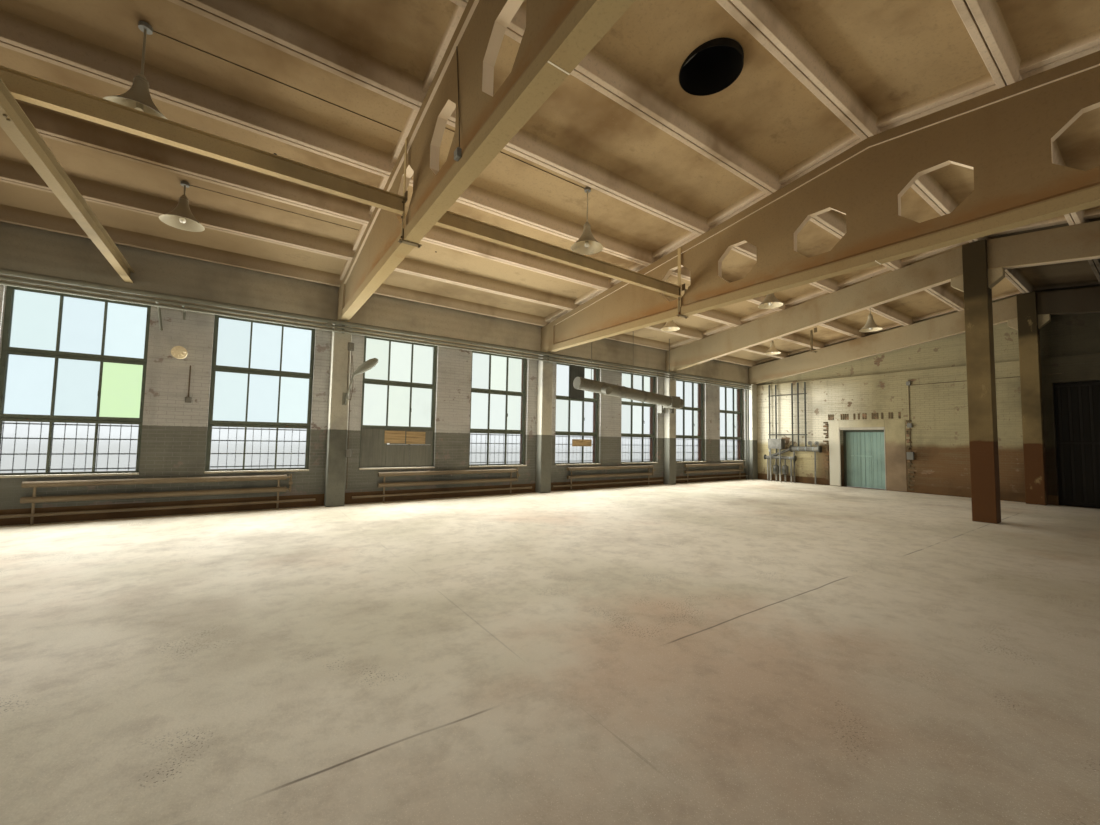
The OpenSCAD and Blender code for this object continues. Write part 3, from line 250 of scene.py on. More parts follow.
class Finish:
    """A material whose nodes read Object coordinates."""

    def __init__(self, name, roughness=0.85, metallic=0.0):
        self.made = bpy.data.materials.new(name)
        self.made.use_nodes = True
        self.tree = self.made.node_tree
        self.shader = self.tree.nodes["Principled BSDF"]
        self.shader.inputs["Roughness"].default_value = roughness
        self.shader.inputs["Metallic"].default_value = metallic
        coordinates = self.tree.nodes.new("ShaderNodeTexCoord")
        self.place = coordinates.outputs["Object"]
        apart = self.node("ShaderNodeSeparateXYZ", Vector=self.place)
        self.x, self.y, self.z = apart.outputs
        facing = self.node("ShaderNodeSeparateXYZ", Vector=coordinates.outputs["Normal"])
        self.facing = facing.outputs
        self.relief = None

    def put(self, socket, value):
        if isinstance(value, bpy.types.NodeSocket):
            self.tree.links.new(value, socket)
        elif socket.type == "RGBA" and len(value) == 3:
            socket.default_value = (*value, 1.0)
        else:
            socket.default_value = value

    def node(self, kind, settings=None, **inputs):
        made = self.tree.nodes.new(kind)
        for key, value in (settings or {}).items():
            setattr(made, key, value)
        for key, value in inputs.items():
            self.put(made.inputs[key.replace("_", " ")], value)
        return made

    def number(self, operation, a, b=0.0):
        made = self.tree.nodes.new("ShaderNodeMath")
        made.operation = operation
        self.put(made.inputs[0], a)
        self.put(made.inputs[1], b)
        return made.outputs[0]

    def times(self, a, b):
        return self.number("MULTIPLY", a, b)

    def plus(self, a, b):
        return self.number("ADD", a, b)

    def most(self, a, b):
        return self.number("MAXIMUM", a, b)

    def past(self, a, b):
        return self.number("GREATER_THAN", a, b)

    def size(self, a):
        return self.number("ABSOLUTE", a)

    def rest(self, a):
        """What is left of 1."""
        return self.number("SUBTRACT", 1.0, a)

    def distance(self, x, y):
        return self.number("SQRT", self.plus(self.times(x, x), self.times(y, y)))

    def noise(self, scale, detail=3.0, roughness=0.55, stretch=(1.0, 1.0, 1.0), shift=0.0):
        at = self.node("ShaderNodeMapping", Vector=self.place, Scale=stretch, Location=(shift, shift, shift))
        made = self.node("ShaderNodeTexNoise", Vector=at.outputs[0], Scale=scale, Detail=detail,
                         Roughness=roughness)
        return made.outputs["Fac"]

    def share(self, value, low, high):
        """How far value has come from low to high, from 0 to 1."""
        made = self.node("ShaderNodeMapRange", {"interpolation_type": "SMOOTHSTEP"}, Value=value)
        made.inputs["From Min"].default_value = low
        made.inputs["From Max"].default_value = high
        return made.outputs[0]

    def cloud(self, low, high, *shape, part=1.0, **more):
        """Patches of noise, from 0 to part."""
        made = self.share(self.noise(*shape, **more), low, high)
        return self.times(made, part) if part < 1.0 else made

    def mix(self, a, b, share, part=1.0):
        """Colour a with that share, or that part of the share, of colour b."""
        made = self.tree.nodes.new("ShaderNodeMix")
        made.data_type = "RGBA"
        self.put(made.inputs["Factor"], share if part == 1.0 else self.times(share, part))
        self.put(made.inputs[6], a)
        self.put(made.inputs[7], b)
        return made.outputs[2]

    def raise_by(self, height, depth, strength=1.0):
        """Adds relief of that depth in metres."""
        made = self.node("ShaderNodeBump", Height=height, Distance=depth, Strength=strength)
        if self.relief is not None:
            self.put(made.inputs["Normal"], self.relief)
        self.relief = made.outputs[0]

    def done(self, base, roughness=None):
        self.put(self.shader.inputs["Base Color"], base)
        if roughness is not None:
            self.put(self.shader.inputs["Roughness"], roughness)
        if self.relief is not None:
            self.put(self.shader.inputs["Normal"], self.relief)
        return self.made


def tint(base, factor):
    return tuple(min(1.0, c * factor) for c in base)


def wear(f, base, dark, stains=(0.48, 0.72), grain=35.0, streak=True):
    """Base colour broken up by broad stains, drips and fine grain, darker by a share or in another colour."""
    dark = tint(base, dark) if isinstance(dark, float) else dark
    broad = f.cloud(*stains, 0.55, 4.0, 0.6)
    made = f.mix(base, dark, broad)
    if streak:
        drips = f.cloud(0.52, 0.8, 2.2, 3.0, 0.6, (1.0, 1.0, 0.18), 3.0)
        made = f.mix(made, dark, drips, 0.45)
    fine = f.noise(grain, 2.0, 0.7)
    deep = dark if isinstance(base, bpy.types.NodeSocket) else tint(base, 0.62)
    return f.mix(made, deep, f.share(fine, 0.5, 0.78), 0.5)


def greyed_and_shaded(f, c, base, most=0.6):
    """Base colour turning greyer and darker towards the windows, with painted shade in the far rear part of
    the hall.
    """
    near = f.times(f.share(f.size(f.y), 4.5, 8.5), most)
    return shaded_rear(f, c, f.mix(base, c.window_grey, near))


def shaded_rear(f, c, base):
    """Base colour with painted shade, a near-black darkening past the last frame behind the ridge, where that
    part of the hall is unlit.
    """
    rear = f.times(f.share(f.y, 0.3, -0.5), f.share(f.x, BAY * 1.5 - 0.3, BAY * 1.5 + 0.6))
    return f.mix(base, c.darkening, rear, 0.85)


def concrete_floor(c):
    """Dusty concrete: clouds of dust, oil and brick dust, clusters of specks and the lines of its joints."""
    f = Finish("dusty_floor", 0.75)
    base = f.mix(c.floor, c.floor_grey, f.cloud(0.42, 0.68, 0.35, 3.0, 0.5, shift=3.0))
    dx = f.plus(f.x, -RED_SPOT[0])
    dy = f.plus(f.y, -RED_SPOT[1])
    away = f.plus(f.distance(dx, dy), f.times(f.noise(1.1, 3.0, 0.6, shift=1.0), -3.0))
    spot = f.share(away, 0.7, -1.2)
    patches = f.cloud(0.52, 0.72, 0.3, 4.0, 0.6, shift=11.0, part=0.7)
    base = f.mix(base, c.red_dust, f.most(spot, patches), 0.6)
    worn = f.cloud(0.5, 0.75, 0.5, 4.0, 0.6, shift=21.0, part=0.45)
    # painted shade: the floor darkens from y 0.8 to y -2.6, away from the front windows; the worn patches are
    # real wear
    front = f.times(f.share(f.y, 0.8, -2.6), 0.65)
    base = f.mix(base, c.floor_stain_and_shade, f.most(worn, front))
    fine = f.cloud(0.4, 0.75, 4.0, 5.0, 0.7, shift=2.0)
    base = f.mix(base, c.floor_stain_and_shade, fine, 0.35)
    cluster = f.cloud(0.56, 0.68, 1.3, 2.0, 0.6, shift=31.0)
    speck = f.cloud(0.6, 0.66, 75.0, 1.0, 0.5)
    base = f.mix(base, tint(c.floor_stain_and_shade, 0.35), f.times(cluster, speck), 0.8)
    chips = f.cloud(0.66, 0.72, 170.0, 1.0, 0.5, shift=5.0)
    base = f.mix(base, tint(c.floor, 1.25), chips, 0.4)
    wander = f.times(f.number("SUBTRACT", f.noise(2.0, 1.0), 0.5), 0.03)
    along = f.size(f.plus(f.plus(f.y, 0.12), wander))
    turn = f.number("MODULO", f.plus(f.x, BAY * 10 + BAY / 2), BAY)
    across = f.plus(f.number("MINIMUM", turn, f.number("SUBTRACT", BAY, turn)), wander)
    seen = f.cloud(0.42, 0.56, 0.8, 2.0, 0.6, shift=7.0)
    faint = f.times(f.share(f.size(across), 0.008, 0.002), 0.3)
    line = f.times(f.most(f.share(along, 0.014, 0.003), faint), seen)
    base = f.mix(base, tint(c.floor_stain_and_shade, 0.4), line, 0.75)
    f.raise_by(f.noise(2.2, 3.0, 0.6), 0.006)
    f.raise_by(f.noise(60.0, 1.0, 0.6), 0.0012)
    return f.done(base, f.plus(f.times(worn, 0.25), 0.6))


def slab_finish(c):
    """The plates are mottled brown and the ribs paler."""
    f = Finish("slab_whitewash", 0.9)
    fall = f.times(f.size(f.y), ROOF_SLOPE)
    rise = f.plus(f.z, fall)
    height = f.number("SUBTRACT", rise, SLAB_LOW.z + ROOF_SLOPE * SLAB_HIGH.y)
    plate = wear(f, c.ceiling, c.ceiling_stain_and_shade, (0.42, 0.72), 26.0, False)
    damp = f.cloud(0.58, 0.7, 1.6, 4.0, 0.65, (1.0, 1.6, 1.0), 9.0)
    plate = f.mix(plate, tint(c.ceiling_stain_and_shade, 0.7), damp, 0.35)
    rib = wear(f, c.rib, c.ceiling_stain_and_shade, (0.5, 0.78), 26.0, False)
    base = f.mix(rib, plate, f.share(height, 0.1, 0.24))
    # painted shade: the plates darken towards the end of the hall at negative x
    darkening = f.share(f.plus(f.x, f.times(f.noise(0.4, 3.0), 2.0)), -1.6, -4.6)
    base = f.mix(greyed_and_shaded(f, c, base, 0.45), tint(c.ceiling_stain_and_shade, 0.5), darkening, 0.75)
    f.raise_by(f.noise(7.0, 3.0, 0.6), 0.004)
    return f.done(base)


def beam_finish(name, c, side_paint):
    """Paler undersides and darker sides, painted light and shade on one whitewash; the sides have real stains
    and a stained band, and painted shade darkens them towards the rear half.
    """
    f = Finish(name, 0.88)
    # painted light and shade: undersides get the paler whitewash, sides the darker side paint
    under = f.share(f.facing[2], -0.3, -0.75)
    lower = wear(f, c.beam, c.beam_stain_and_shade, (0.56, 0.85), 30.0, False)
    sides = wear(f, side_paint, c.ceiling_stain_and_shade, (0.48, 0.78), 30.0)
    band_low = BEAM_LOW.z + 0.17
    over = f.share(f.z, band_low - 0.01, band_low + 0.02)
    out = f.share(f.z, band_low + 0.34, band_low + 0.1)
    mottle = f.cloud(0.3, 0.6, 1.4, 4.0, 0.6, (1.0, 1.0, 2.0))
    band = f.times(f.times(over, out), mottle)
    sides = f.mix(sides, c.beam_stain_and_shade, band, 0.8)
    reveal = f.times(f.share(f.size(f.facing[0]), 0.6, 0.4), over)
    # painted shade: the sides darken towards the rear half of the hall
    sides = f.mix(sides, tint(c.beam_stain_and_shade, 0.35), f.share(f.y, 2.6, -0.6), 0.45)
    flange = f.share(f.z, band_low - 0.01, band_low - 0.03)
    sides = f.mix(sides, lower, flange, 0.45)
    f.raise_by(f.noise(9.0, 3.0, 0.6, (1.0, 0.4, 1.0)), 0.004)
    base = f.mix(f.mix(sides, lower, under), c.rib, reveal, 0.8)
    return f.done(greyed_and_shaded(f, c, base))


def brick_place(f):
    """Length along the wall and height, whichever way the wall faces."""
    across = f.past(f.size(f.facing[0]), 0.5)
    along = f.node("ShaderNodeMix", {"data_type": "FLOAT"}, Factor=across)
    f.put(along.inputs[2], f.x)
    f.put(along.inputs[3], f.y)
    return f.node("ShaderNodeCombineXYZ", X=along.outputs[0], Y=f.z).outputs[0]


def brickwork(f, c, s):
    """Colour of bare brickwork, and a height that is 1 on the bricks and 0 in the joints."""
    at = brick_place(f)
    laid = f.node("ShaderNodeTexBrick", {"offset": 0.5}, Vector=at, Color1=c.brick, Color2=c.brick_dark,
                  Mortar=c.mortar, Scale=1.0, Mortar_Size=s.joint, Mortar_Smooth=0.3, Bias=-0.2,
                  Brick_Width=s.brick_length, Row_Height=s.course)
    rough = f.noise(24.0, 3.0, 0.65)
    bare = f.mix(laid.outputs["Color"], tint(c.brick, 0.45), f.share(rough, 0.45, 0.75), 0.5)
    return bare, f.rest(laid.outputs["Fac"])


def paler(f, c, base):
    """Base colour with the paler whitewash that the end walls have near the windows."""
    near = f.times(f.share(f.y, 3.9, 6.2), f.share(f.z, 4.7, 3.7))
    return f.mix(base, wear(f, c.end_wall_pale, 0.6, (0.5, 0.8), 40.0), near)


def wall_finish(name, c, s, paint, dado, soft=0.006, pale_y=None):
    """Painted brick inside, with a dado and places where the paint has gone, and bare brick outside."""
    f = Finish(name, 0.86)
    bare, height = brickwork(f, c, s)
    above = wear(f, paint, 0.55, (0.46, 0.76), 40.0)
    if pale_y:
        above = paler(f, c, above)
    below = wear(f, dado, 0.5, (0.46, 0.76), 40.0)
    if pale_y:
        below = f.mix(below, tint(paint, 1.3), f.share(f.y, *pale_y))
    edge = f.plus(f.z, f.times(f.noise(14.0 if soft < 0.05 else 1.5, 4.0), 0.02 + 2 * soft))
    painted = f.mix(below, above, f.share(edge, DADO_TOP - soft, DADO_TOP + soft))
    courses = f.cloud(0.45, 0.75, 1.0, 4.0, 0.7, (0.7, 0.7, 11.0), 4.0)
    painted = f.mix(painted, tint(paint, 0.5), courses, 0.4)
    rough = f.cloud(0.38, 0.6, 0.8, 4.0, 0.6, shift=13.0)
    seen = f.plus(f.times(rough, 0.45), 0.15)
    painted = f.mix(painted, tint(paint, 0.5), f.times(f.rest(height), seen))
    peel = f.cloud(0.63, 0.67, 1.1, 5.0, 0.68, (1.0, 1.0, 1.4), 2.0)
    low = f.share(f.z, FLOOR_TOP + 0.5, FLOOR_TOP)
    foot = f.share(f.plus(f.noise(3.0, 3.0, 0.6), f.times(low, 0.3)), 0.62, 0.68)
    dull = f.mix(bare, tint(paint, 0.45), 0.65)
    inside = f.mix(painted, dull, f.most(peel, f.times(foot, 0.7)))
    soiled = f.mix(inside, tint(dado, 0.35), f.share(f.z, FLOOR_TOP + 0.9, FLOOR_TOP), 0.5)
    out = f.most(f.past(f.size(f.y), OUTER_Y), f.past(f.size(f.x), OUTER_X))
    damp = f.cloud(0.45, 0.75, 0.5, 3.0, 0.65, (1.0, 1.0, 0.5), part=0.55)
    weathered = f.mix(bare, tint(c.brick, 0.4), damp)
    skin = f.most(f.past(f.size(f.y), WALL_OUT_Y - 0.004), f.past(f.size(f.x), END_OUT_X - 0.004))
    weathered = f.mix(weathered, tint(c.mortar, 0.75), skin)
    f.raise_by(height, 0.006, 0.6)
    f.raise_by(f.noise(22.0, 2.0, 0.6), 0.003)
    # the inside gets painted shade in the unlit rear part of the hall
    return f.done(f.mix(shaded_rear(f, c, soiled), weathered, out))


def paint_finish(name, base, c, roughness=0.5, rust=0.5, grain=60.0):
    """Old paint on metal or wood, with rust or dirt where it has gone."""
    f = Finish(name, roughness)
    coat = wear(f, base, 0.6, (0.45, 0.75), grain)
    gone = f.cloud(0.55 + 0.2 * (1 - rust), 0.6 + 0.2 * (1 - rust), 9.0, 5.0, 0.72)
    f.raise_by(f.rest(gone), 0.0006)
    f.raise_by(f.noise(45.0, 1.0, 0.6), 0.0004)
    return f.done(f.mix(coat, c.rust, gone), f.plus(f.times(gone, 0.35), roughness))


def timber_finish(name, base, grain_axis=2, dark=0.5):
    """Boards with grain along one axis."""
    f = Finish(name, 0.82)
    stretch = [9.0, 9.0, 9.0]
    stretch[grain_axis] = 0.5
    grain = f.noise(3.0, 4.0, 0.7, stretch)
    made = f.mix(base, tint(base, dark), f.share(grain, 0.35, 0.75))
    made = f.mix(made, tint(base, 0.65), f.cloud(0.5, 0.75, 1.5, 5.0, 0.6, part=0.6))
    f.raise_by(grain, 0.002)
    return f.done(made)


def rough_finish(name, base, dark, relief, depth, roughness=0.9, **more):
    """Worn concrete or plaster with soft relief."""
    f = Finish(name, roughness)
    f.raise_by(f.noise(*relief), depth)
    return f.done(wear(f, base, dark, **more))


def eaves_concrete(name, c):
    return rough_finish(name, c.cornice, 0.5, (10.0, 5.0, 0.6), 0.004, 0.92)


def sheet_finish(name, base, roughness=0.45, metallic=0.85):
    """Dull galvanised sheet with spangle, dust and streaks."""
    f = Finish(name, roughness, metallic)
    cells = f.node("ShaderNodeTexVoronoi", Vector=f.place, Scale=28.0)
    spangle = f.mix(base, tint(base, 0.78), f.share(cells.outputs["Distance"], 0.1, 0.7), 0.6)
    dust = f.cloud(0.46, 0.72, 1.6, 6.0, 0.65)
    made = f.mix(spangle, tint(base, 0.5), dust, 0.55)
    f.raise_by(f.noise(6.0, 3.0, 0.5), 0.0015)
    return f.done(made, f.plus(f.times(dust, 0.3), roughness))


def felt_finish(c):
    f = Finish("roof_felt", 0.95)
    made = f.mix(c.felt, tint(c.felt, 0.6), f.cloud(0.42, 0.7, 0.4, 6.0, 0.6))
    chips = f.cloud(0.55, 0.7, 140.0, 2.0, 0.6)
    made = f.mix(made, tint(c.felt, 1.5), chips, 0.4)
    f.raise_by(f.noise(140.0, 2.0, 0.6), 0.0015)
    f.raise_by(f.noise(0.9, 3.0, 0.5), 0.01)
    return f.done(made)


def pane_finish():
    """Frosted and tinted panes: each pane's own shade is kept in its attribute."""
    f = Finish("frosted_glass", 0.35)
    shade = f.node("ShaderNodeAttribute", {"attribute_name": "pane_shade", "attribute_type": "GEOMETRY"})
    frost = f.cloud(0.3, 0.8, 3.0, 5.0, 0.6)
    made = f.mix(shade.outputs["Color"], (0.62, 0.72, 0.76), frost, 0.1)
    dirt = f.cloud(0.55, 0.8, 1.2, 6.0, 0.7, (1.0, 1.0, 0.5), 4.0)
    made = f.mix(made, (0.45, 0.45, 0.38), dirt, 0.16)
    f.shader.inputs["Transmission Weight"].default_value = 1.0
    f.shader.inputs["IOR"].default_value = 1.06
    f.raise_by(f.noise(40.0, 3.0, 0.6), 0.0008)
    return f.done(made, f.plus(f.times(frost, 0.2), 0.3))


def cover(node, material):
    """Gives a node its finish."""
    slots = NODES[node].data.materials
    slots.clear()
    slots.append(material)


def keep(bm, name, material, body=HALL, smooth=False):
    """Turns a finished bmesh into a piece that rides on a body."""
    mesh = bpy.data.meshes.new(name)
    bm.to_mesh(mesh)
    bm.free()
    mesh.materials.append(material)
    if smooth:
        mesh.shade_smooth()
    piece = bpy.data.objects.new(name, mesh)
    bpy.context.scene.collection.objects.link(piece)
    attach(piece, body)
    return piece


def add_box(bm, low, high, bevel=0.0):
    low, high = Vector(low), Vector(high)
    size = high - low
    place = Matrix.Translation((low + high) / 2) @ Matrix.Diagonal((*size, 1.0))
    made = bmesh.ops.create_cube(bm, size=1.0, matrix=place)["verts"]
    if bevel:
        edges = list({e for v in made for e in v.link_edges})
        bmesh.ops.bevel(bm, geom=edges, offset=bevel, affect="EDGES", segments=1, profile=0.5, material=-1)
    return made


def add_bar(bm, start, end, radius, sides=10, tip=None):
    start, end = Vector(start), Vector(end)
    run = end - start
    turn = run.to_track_quat("Z", "Y").to_matrix().to_4x4()
    place = Matrix.Translation((start + end) / 2) @ turn
    bmesh.ops.create_cone(bm, cap_ends=True, segments=sides, radius1=radius,
                          radius2=radius if tip is None else tip, depth=run.length, matrix=place)


def add_run(bm, points, radius, sides=8):
    """A pipe or cable through points, with balls at its bends."""
    for a, b in zip(points, points[1:]):
        add_bar(bm, a, b, radius, sides)
    for p in points[1:-1]:
        bmesh.ops.create_icosphere(bm, subdivisions=1, radius=radius * 1.08, matrix=Matrix.Translation(p))


def add_bolt(bm, at, facing, across=0.03):
    """A six-sided bolt head on a washer, standing on a face."""
    at, facing = Vector(at), Vector(facing).normalized()
    add_bar(bm, at - facing * 0.004, at + facing * 0.004, across * 0.62, 12)
    add_bar(bm, at, at + facing * across * 0.62, across / 2, 6)


def repeat(unit, places):
    """A new bmesh with a copy of the unit at each place."""
    mesh = bpy.data.meshes.new("unit")
    unit.to_mesh(mesh)
    unit.free()
    bm = bmesh.new()
    for place in places:
        start = len(bm.verts)
        bm.from_mesh(mesh)
        bm.verts.ensure_lookup_table()
        bmesh.ops.transform(bm, matrix=place, verts=bm.verts[start:])
    bpy.data.meshes.remove(mesh)
    return bm


def softened(node, material, width, uneven=0.0, seed=0):
    """A copy of a node with worn edges and slightly uneven faces, which takes its place."""
    bm = bmesh.new()
    bm.from_mesh(NODES[node].data)
    bmesh.ops.remove_doubles(bm, verts=bm.verts, dist=1e-5)
    bmesh.ops.dissolve_limit(bm, angle_limit=math.radians(1), verts=bm.verts, edges=bm.edges)
    if uneven:
        low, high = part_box(node)
        axis = 0 if high.x - low.x > high.y - low.y else 1
        count = int((high[axis] - low[axis]) / 0.6)
        for i in range(1, count):
            cut = Vector((0, 0, 0))
            cut[axis] = low[axis] + (high[axis] - low[axis]) * i / count
            normal = Vector((0, 0, 0))
            normal[axis] = 1
            whole = bm.verts[:] + bm.edges[:] + bm.faces[:]
            bmesh.ops.bisect_plane(bm, geom=whole, plane_co=cut, plane_no=normal)
    sharp = [e for e in bm.edges if len(e.link_faces) == 2 and e.calc_face_angle() > 0.3]
    bmesh.ops.bevel(bm, geom=sharp, offset=width, affect="EDGES", segments=1, profile=0.5, material=-1,
                    clamp_overlap=True)
    if uneven:
        noise.seed_set(seed + 1)
        for v in bm.verts:
            v.co += noise.noise_vector(v.co * 2.3 + Vector((seed, 0, 0))) * uneven
    piece = keep(bm, node + "_worn", material)
    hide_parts(node)
    return piece


class HALL_OT_concrete(Operator):
    """Finishes the floor, beams, slabs and columns and wears their edges"""
    bl_idname = "hall.concrete"
    bl_label = "Concrete"

    def execute(self, context):
        c, s = context.scene.hall_colours, context.scene.hall_sizes
        cover("floor_slab", concrete_floor(c))
        slabs = slab_finish(c)
        for bay in range(1, 6):
            softened(f"roof_slabs_bay_{bay}", slabs, s.edge * 0.6)
        beams = beam_finish("beam_whitewash", c, c.shaded_beam_side)
        for i in (1, 2, 3):
            softened(f"gable_beam_{i}", beams, s.edge, 0.004, i)
        softened("inclined_beams", beam_finish("inclined_whitewash", c, c.inclined), s.edge)
        softened("middle_columns", column_finish(c), s.edge * 1.5)
        softened("wall_columns", wall_column_finish(c), s.edge * 1.5)
        softened("eaves_cornices", eaves_concrete("cornice_concrete", c), s.edge)
        self.ceiling_marks()
        self.beam_joints(c)
        return {"FINISHED"}

    def ceiling_marks(self):
        """Near-black discs on the slab plates, painted shade standing for small open holes left in them."""
        draw = random.Random(31)
        bm = bmesh.new()
        holes = [(-1.5, 6.78)]
        for i in range(26):
            holes.append((draw.uniform(-14, 14), draw.choice((-1, 1)) * (draw.randrange(6) * 1.5 + 0.75)))
        for x, y in holes:
            z = ceiling_z(y)
            add_bar(bm, (x, y, z + 0.01), (x, y, z - 0.004), 0.022, 10)
        f = Finish("hole_shade", 0.95)
        keep(bm, "ceiling_holes", f.done((0.012, 0.009, 0.007)))

    def beam_joints(self, c):
        """Narrow mortar joint under each beam's middle, and the plates it sits on."""
        bm = bmesh.new()
        for x in BEAM_X:
            add_box(bm, (x - 0.1, -0.062, BEAM_LOW.z - 0.002), (x + 0.1, -0.05, BEAM_LOW.z + 0.01))
        f = Finish("joint_mortar", 0.9)
        keep(bm, "beam_joints", f.done(linear("#e6dcc4")))
        bm = bmesh.new()
        for x in BEAM_X:
            for side in (1, -1):
                add_box(bm, (x - 0.13, side * (WALL_Y - 0.3) - 0.02, BEAM_LOW.z - 0.001),
                        (x + 0.13, side * (WALL_Y - 0.02), BEAM_LOW.z + 0.012))
                for dx in (-0.115, 0.115):
                    add_bolt(bm, (x + dx, side * (WALL_Y - 0.26), BEAM_LOW.z + 0.012), (0, 0, 1), 0.022)
        keep(bm, "beam_seats", paint_finish("seat_steel", c.steel, c, 0.6, 0.9))


def ceiling_z(y):
    """Underside of the slab plates."""
    return SLAB_HIGH.z - PLATE - ROOF_SLOPE * abs(y)


def brick_mesh(s):
    """Two bricks, one above the other and half a length on, as the start of a wall."""
    bm = bmesh.new()
    half = s.joint
    for i in (0, 1):
        low = Vector((half + i * s.brick_length / 2, -BRICK_HOLD, half + i * s.course))
        high = Vector((s.brick_length - half + i * s.brick_length / 2, s.relief, (i + 1) * s.course - half))
        made = add_box(bm, low, high)
        front = [v for v in made if v.co.y > 0]
        middle = (low + high) / 2
        inset = 0.003
        wide, tall = high.x - low.x, high.z - low.z
        grow = ((wide - 2 * inset) / wide, 1.0, (tall - 2 * inset) / tall)
        bmesh.ops.scale(bm, vec=grow, verts=front, space=Matrix.Translation(-middle))
    mesh = bpy.data.meshes.new("brick_pair")
    bm.to_mesh(mesh)
    bm.free()
    return mesh


def lay_bricks(context, name, low, high, openings, top, turn, s, material, seed):
    """Bricks of one outer wall face, cut to its corners, its openings and the line under the roof."""
    (u_low, z_low), (u_high, z_high) = low, high
    holder = bpy.data.objects.new("brick_pair", brick_mesh(s))
    context.scene.collection.objects.link(holder)
    for step, reach in (((s.brick_length, 0, 0), u_high - u_low), ((0, 0, 2 * s.course), z_high - z_low)):
        rows = holder.modifiers.new("row", "ARRAY")
        rows.use_relative_offset = False
        rows.use_constant_offset = True
        rows.constant_offset_displace = step
        rows.count = int(reach / max(step)) + 2
    view = context.evaluated_depsgraph_get()
    mesh = bpy.data.meshes.new_from_object(holder.evaluated_get(view))
    bpy.data.objects.remove(holder)
    flat = np.empty(len(mesh.vertices) * 3, dtype=np.float32)
    mesh.vertices.foreach_get("co", flat)
    co = flat.reshape(-1, 8, 3)
    co[:, :, 0] += u_low - s.brick_length / 2
    co[:, :, 2] += z_low
    draw = np.random.default_rng(seed)
    count = len(co)
    lean = draw.normal(0.0, 0.0012, (count, 1))
    co[:, :, 1] += np.where(co[:, :, 1] > 0, lean, 0.0)
    middle_u, middle_z = co[:, :, 0].mean(1), co[:, :, 2].mean(1)
    np.clip(co[:, :, 0], u_low, u_high, out=co[:, :, 0])
    np.clip(co[:, :, 2], z_low, z_high, out=co[:, :, 2])
    co[:, :, 2] = np.minimum(co[:, :, 2], top(co[:, :, 0]))
    for a, b, below, above in openings:
        near = (co[:, :, 0].max(1) > a) & (co[:, :, 0].min(1) < b) & (co[:, :, 2].max(1) > below) & (
            co[:, :, 2].min(1) < above)
        within_z = near & (middle_z > below) & (middle_z < above)
        left, right = within_z & (middle_u <= a + 0.01), within_z & (middle_u >= b - 0.01)
        gone = within_z & ~left & ~right
        low_side, high_side = near & (middle_z <= below), near & (middle_z >= above)
        co[left, :, 0] = np.minimum(co[left, :, 0], a)
        co[right, :, 0] = np.maximum(co[right, :, 0], b)
        co[low_side, :, 2] = np.minimum(co[low_side, :, 2], below)
        co[high_side, :, 2] = np.maximum(co[high_side, :, 2], above)
        partly = gone & (co[:, :, 0].min(1) < a - 0.03)
        co[partly, :, 0] = np.minimum(co[partly, :, 0], a)
        other = gone & ~partly & (co[:, :, 0].max(1) > b + 0.03)
        co[other, :, 0] = np.maximum(co[other, :, 0], b)
        co[gone & ~partly & ~other, :, 0] = u_low
    size_u = co[:, :, 0].max(1) - co[:, :, 0].min(1)
    size_z = co[:, :, 2].max(1) - co[:, :, 2].min(1)
    kept = (size_u > 0.025) & (size_z > 0.025)
    mesh.vertices.foreach_set("co", co.reshape(-1))
    tone = mesh.attributes.new("tone", "FLOAT", "POINT")
    tone.data.foreach_set("value", np.repeat(draw.random(count), 8).astype(np.float32))
    bm = bmesh.new()
    bm.from_mesh(mesh)
    bpy.data.meshes.remove(mesh)
    bm.verts.ensure_lookup_table()
    dropped = [bm.verts[i] for i in np.flatnonzero(np.repeat(~kept, 8))]
    bmesh.ops.delete(bm, geom=dropped, context="VERTS")
    bmesh.ops.transform(bm, matrix=turn, verts=bm.verts)
    return keep(bm, name, material)


